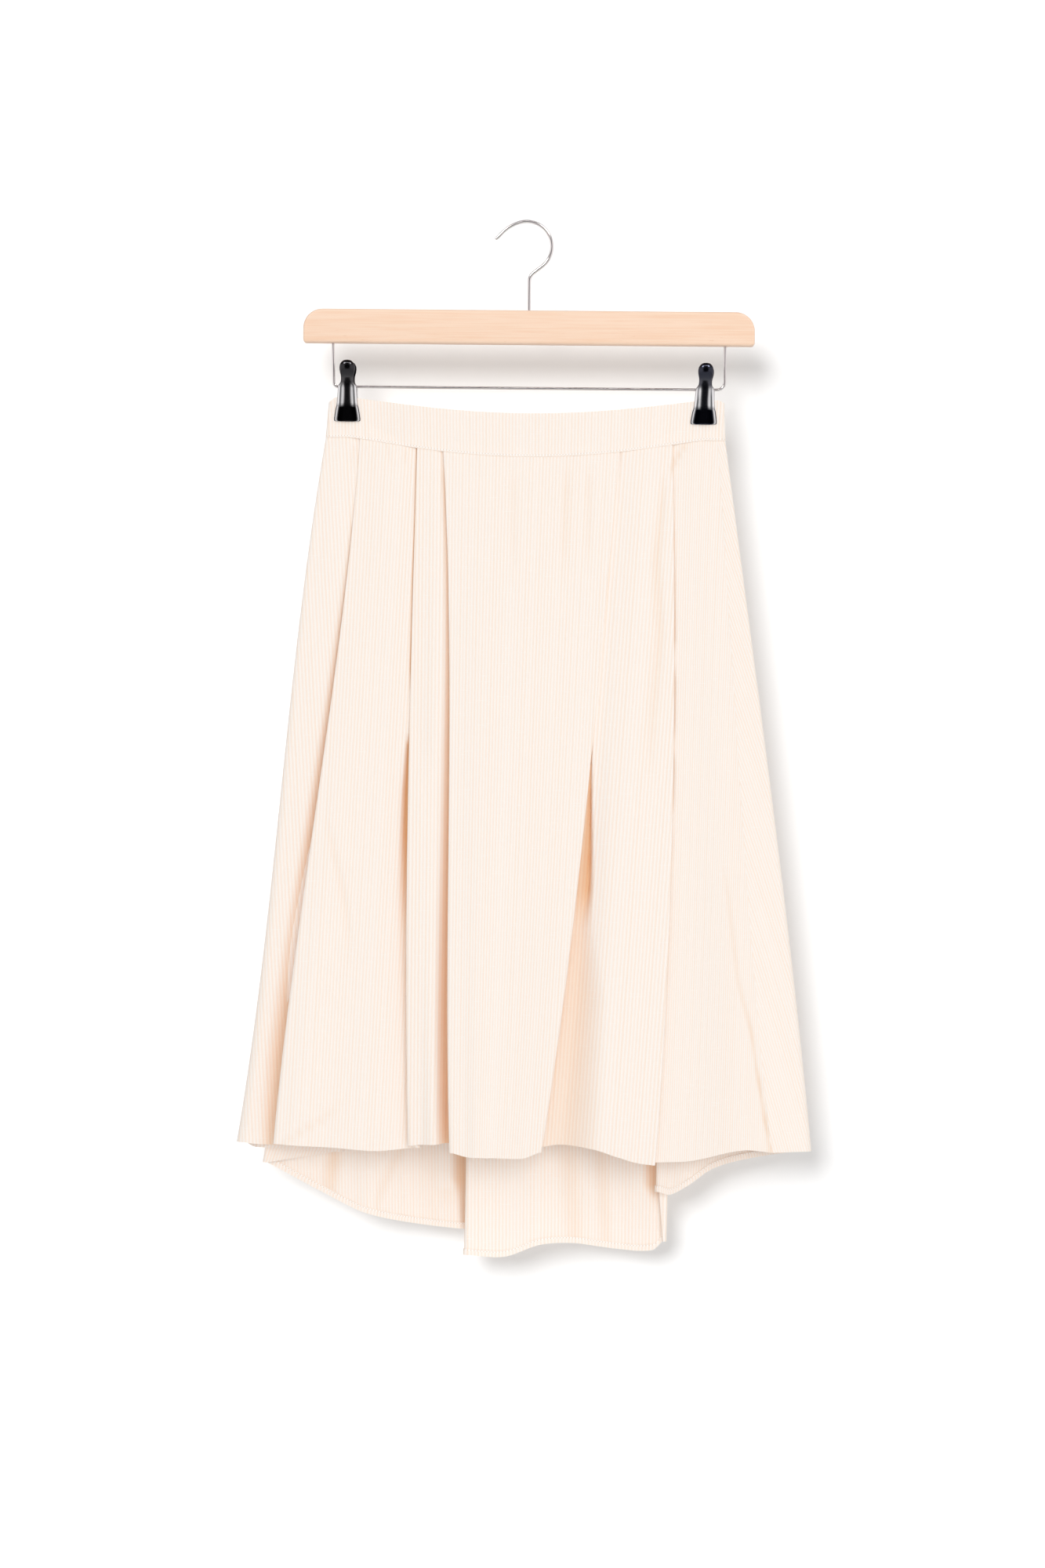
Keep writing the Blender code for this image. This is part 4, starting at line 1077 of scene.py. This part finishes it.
def clip_chrome(name, painted_dark):
    """Polished chrome with a painted dark reflection, and painted white reflections on the flutes and rims.
    """
    made = new_finish(name, {"Roughness": 0.14, "Coat Weight": 0.2, "Coat Roughness": 0.06})
    tree = made.node_tree
    shader = tree.nodes["Principled BSDF"]
    bright = node(tree, "ShaderNodeAttribute", attribute_name="bright").outputs["Fac"]
    tree.links.new(mixed(tree, bright, painted_dark, (0.96, 0.95, 0.96)), shader.inputs["Base Color"])
    # Where white reflection is painted, the chrome turns into white paint that shows from every side.
    metal = maths(tree, "SUBTRACT", 1.0, maths(tree, "MULTIPLY", bright, 0.75))
    tree.links.new(metal, shader.inputs["Metallic"])
    return made


# The springs are short coils of steel round the rail, between the two plates of each clip.
COIL_LENGTH, COIL_RADIUS, COIL_WIRE, COIL_TURNS = 8.6, 2.0, 0.95, 6


def clip_spring(name, x):
    """A coil wound round the rail."""
    bpy.ops.object.select_all(action="DESELECT")
    quarter = math.radians(90)
    bpy.ops.mesh.primitive_circle_add(vertices=10, radius=COIL_WIRE / 2 * MM, rotation=(quarter, 0, 0))
    coil = settle(name)
    bpy.ops.object.mode_set(mode="EDIT")
    bpy.ops.mesh.select_all(action="SELECT")
    bpy.ops.transform.translate(value=(0, 0, COIL_RADIUS * MM))
    bpy.ops.object.mode_set(mode="OBJECT")
    wound = coil.modifiers.new("winding", "SCREW")
    wound.axis = "X"
    wound.steps = 18
    wound.render_steps = 18
    wound.iterations = COIL_TURNS
    wound.screw_offset = COIL_LENGTH / COIL_TURNS * MM
    bpy.ops.object.modifier_apply(modifier=wound.name)
    coil.location = Vector((x - COIL_LENGTH / 2, 0, -RAIL_DROP)) * MM
    coil = settle(name)
    bpy.ops.object.mode_set(mode="EDIT")
    close_wire()
    return coil


# Each clip's painted dark reflection; the right one's is bluer.
for side, grips, jaw_x, painted_dark in (
    ("left", (-152.0, -150.9), -151.6, (0.012, 0.011, 0.014)),
    ("right", (149.8, 150.9), 148.1, (0.011, 0.014, 0.030)),
):
    chrome = clip_chrome(f"{side} clip chrome", painted_dark)
    for half, facing, grip_x in (("front", -1, grips[0]), ("back", 1, grips[1])):
        plate = clip_plate(f"{side}_clip_{half}_plate", facing, grip_x, jaw_x)
        dress(plate, chrome, "chrome", f"clip_{side}_{half}")
    dress(clip_spring(f"{side}_clip_coil", jaw_x), steel, "chrome", f"clip_{side}_spring")


# Studio: a white wall that only the camera sees, a pale floor, and soft lights. The wire and clips mirror a
# room that is dark ahead, bright at the sides and dim above, below and behind.
WALL_AWAY = 60.0
WALL_SIZE = 6000.0
FLOOR_DROP = 1500.0
DARK_AHEAD, BRIGHT_SIDES = (0.03, 0.03, 0.035), (1.0, 0.96, 0.96)
DIM_BEHIND, DIM_ABOVE = (0.6, 0.56, 0.57), (0.10, 0.075, 0.08)


def stage_plane(name, place, turned):
    """A big plane of the studio."""
    bpy.ops.mesh.primitive_plane_add(size=WALL_SIZE * MM, location=Vector(place) * MM, rotation=turned)
    made = bpy.context.object
    made.name = name
    return made


wall = stage_plane("studio_wall", (0, WALL_AWAY, -CAMERA_DROP), (math.radians(90), 0, 0))
wall.visible_diffuse = False
wall.visible_glossy = False
wall.visible_transmission = False
wall.visible_shadow = False
paper = bpy.data.materials.new("white paper")
paper.use_nodes = True
tree = paper.node_tree
tree.nodes.clear()
white = node(tree, "ShaderNodeBsdfDiffuse", {"Color": (0.8, 0.8, 0.8, 1)})
glow = node(tree, "ShaderNodeEmission", {"Color": (1, 1, 1, 1), "Strength": 0.05})
lit = node(tree, "ShaderNodeAddShader", {0: white.outputs[0], 1: glow.outputs[0]})
clear = node(tree, "ShaderNodeBsdfTransparent")
behind = node(tree, "ShaderNodeNewGeometry").outputs["Backfacing"]
shown = node(tree, "ShaderNodeMixShader", {0: behind, 1: lit.outputs[0], 2: clear.outputs[0]})
node(tree, "ShaderNodeOutputMaterial", {"Surface": shown.outputs[0]})
wall.data.materials.append(paper)

floor = stage_plane("studio_floor", (0, 0, -FLOOR_DROP), (0, 0, 0))
floor.data.materials.append(new_finish("pale floor", {"Base Color": (0.85, 0.85, 0.85, 1), "Roughness": 0.8}))

world = bpy.data.worlds.new("studio")
bpy.context.scene.world = world
world.use_nodes = True
tree = world.node_tree
tree.nodes.clear()
gloss = node(tree, "ShaderNodeLightPath").outputs["Is Glossy Ray"]
ahead = node(tree, "ShaderNodeSeparateXYZ", {0: node(tree, "ShaderNodeTexCoord").outputs["Generated"]})
walls = mixed(tree, smooth_range(tree, ahead.outputs["Y"], -0.95, -0.8), DARK_AHEAD, BRIGHT_SIDES)
walls = mixed(tree, smooth_range(tree, ahead.outputs["Y"], 0.2, 0.9), walls, DIM_BEHIND)
steep = smooth_range(tree, maths(tree, "ABSOLUTE", ahead.outputs["Z"]), 0.2, 0.6)
mirrored = mixed(tree, steep, walls, DIM_ABOVE)
seen = mixed(tree, gloss, (0.75, 0.75, 0.75), mirrored)
light = node(tree, "ShaderNodeBackground", {"Color": seen})
node(tree, "ShaderNodeOutputWorld", {"Surface": light.outputs[0]})


def light_only(light, thing, all_but=False):
    """Lets a light reach one thing alone, or all but it."""
    reached = bpy.data.collections.new(light.name + " lights")
    reached.objects.link(thing)
    light.light_linking.receiver_collection = reached
    if all_but:
        reached.collection_objects[0].light_linking.link_state = "EXCLUDE"


def sun(name, direction, spread, strength):
    """A far soft light that shines along a direction, and that nothing mirrors."""
    data = bpy.data.lights.new(name, "SUN")
    data.angle = math.radians(spread)
    data.energy = strength
    made = bpy.data.objects.new(name, data)
    bpy.context.scene.collection.objects.link(made)
    made.rotation_euler = Vector(direction).to_track_quat("-Z", "Y").to_euler()
    made.visible_glossy = False
    return made


def soft_box(name, place, aim, wide, tall, power):
    """A soft rectangular light, turned to an aim."""
    data = bpy.data.lights.new(name, "AREA")
    data.shape = "RECTANGLE"
    data.size = wide * MM
    data.size_y = tall * MM
    data.energy = power
    made = bpy.data.objects.new(name, data)
    bpy.context.scene.collection.objects.link(made)
    made.location = Vector(place) * MM
    made.rotation_euler = (Vector(aim) * MM - made.location).to_track_quat("-Z", "Y").to_euler()
    return made


light_only(sun("wall_light", (0.34, 1.0, -0.40), 25, 2.1), wall)
light_only(sun("front_light", (-0.22, 1.0, -0.25), 40, 0.9), wall, all_but=True)
light_only(sun("back_light", (0.12, -1.0, -0.25), 40, 0.85), wall, all_but=True)

# Three boxes are only there for the wire, the clips and the lacquer to mirror.
for name, place, wide, tall, power in (
    ("left_box", (-1300, -1700, 1500), 900, 900, 22),
    ("right_box", (1300, -1700, 1500), 900, 900, 22),
    ("strip_light", (0, -1500, 1300), 3400, 160, 14),
):
    box = soft_box(name, place, (0, 0, -CAMERA_DROP), wide, tall, power)
    box.visible_diffuse = False

# A small fill under the front hem reaches the inside of the back panel, which the front one shades.
fill = soft_box("hem_fill", (-30, -190, -960), (-30, 25, -825), 260, 60, 0.05)
fill.visible_camera = False
fill.visible_glossy = False
light_only(fill, back)

bpy.context.scene.view_settings.view_transform = "Standard"
bpy.context.scene.cycles.diffuse_bounces = 10
bpy.context.scene.cycles.max_bounces = 14
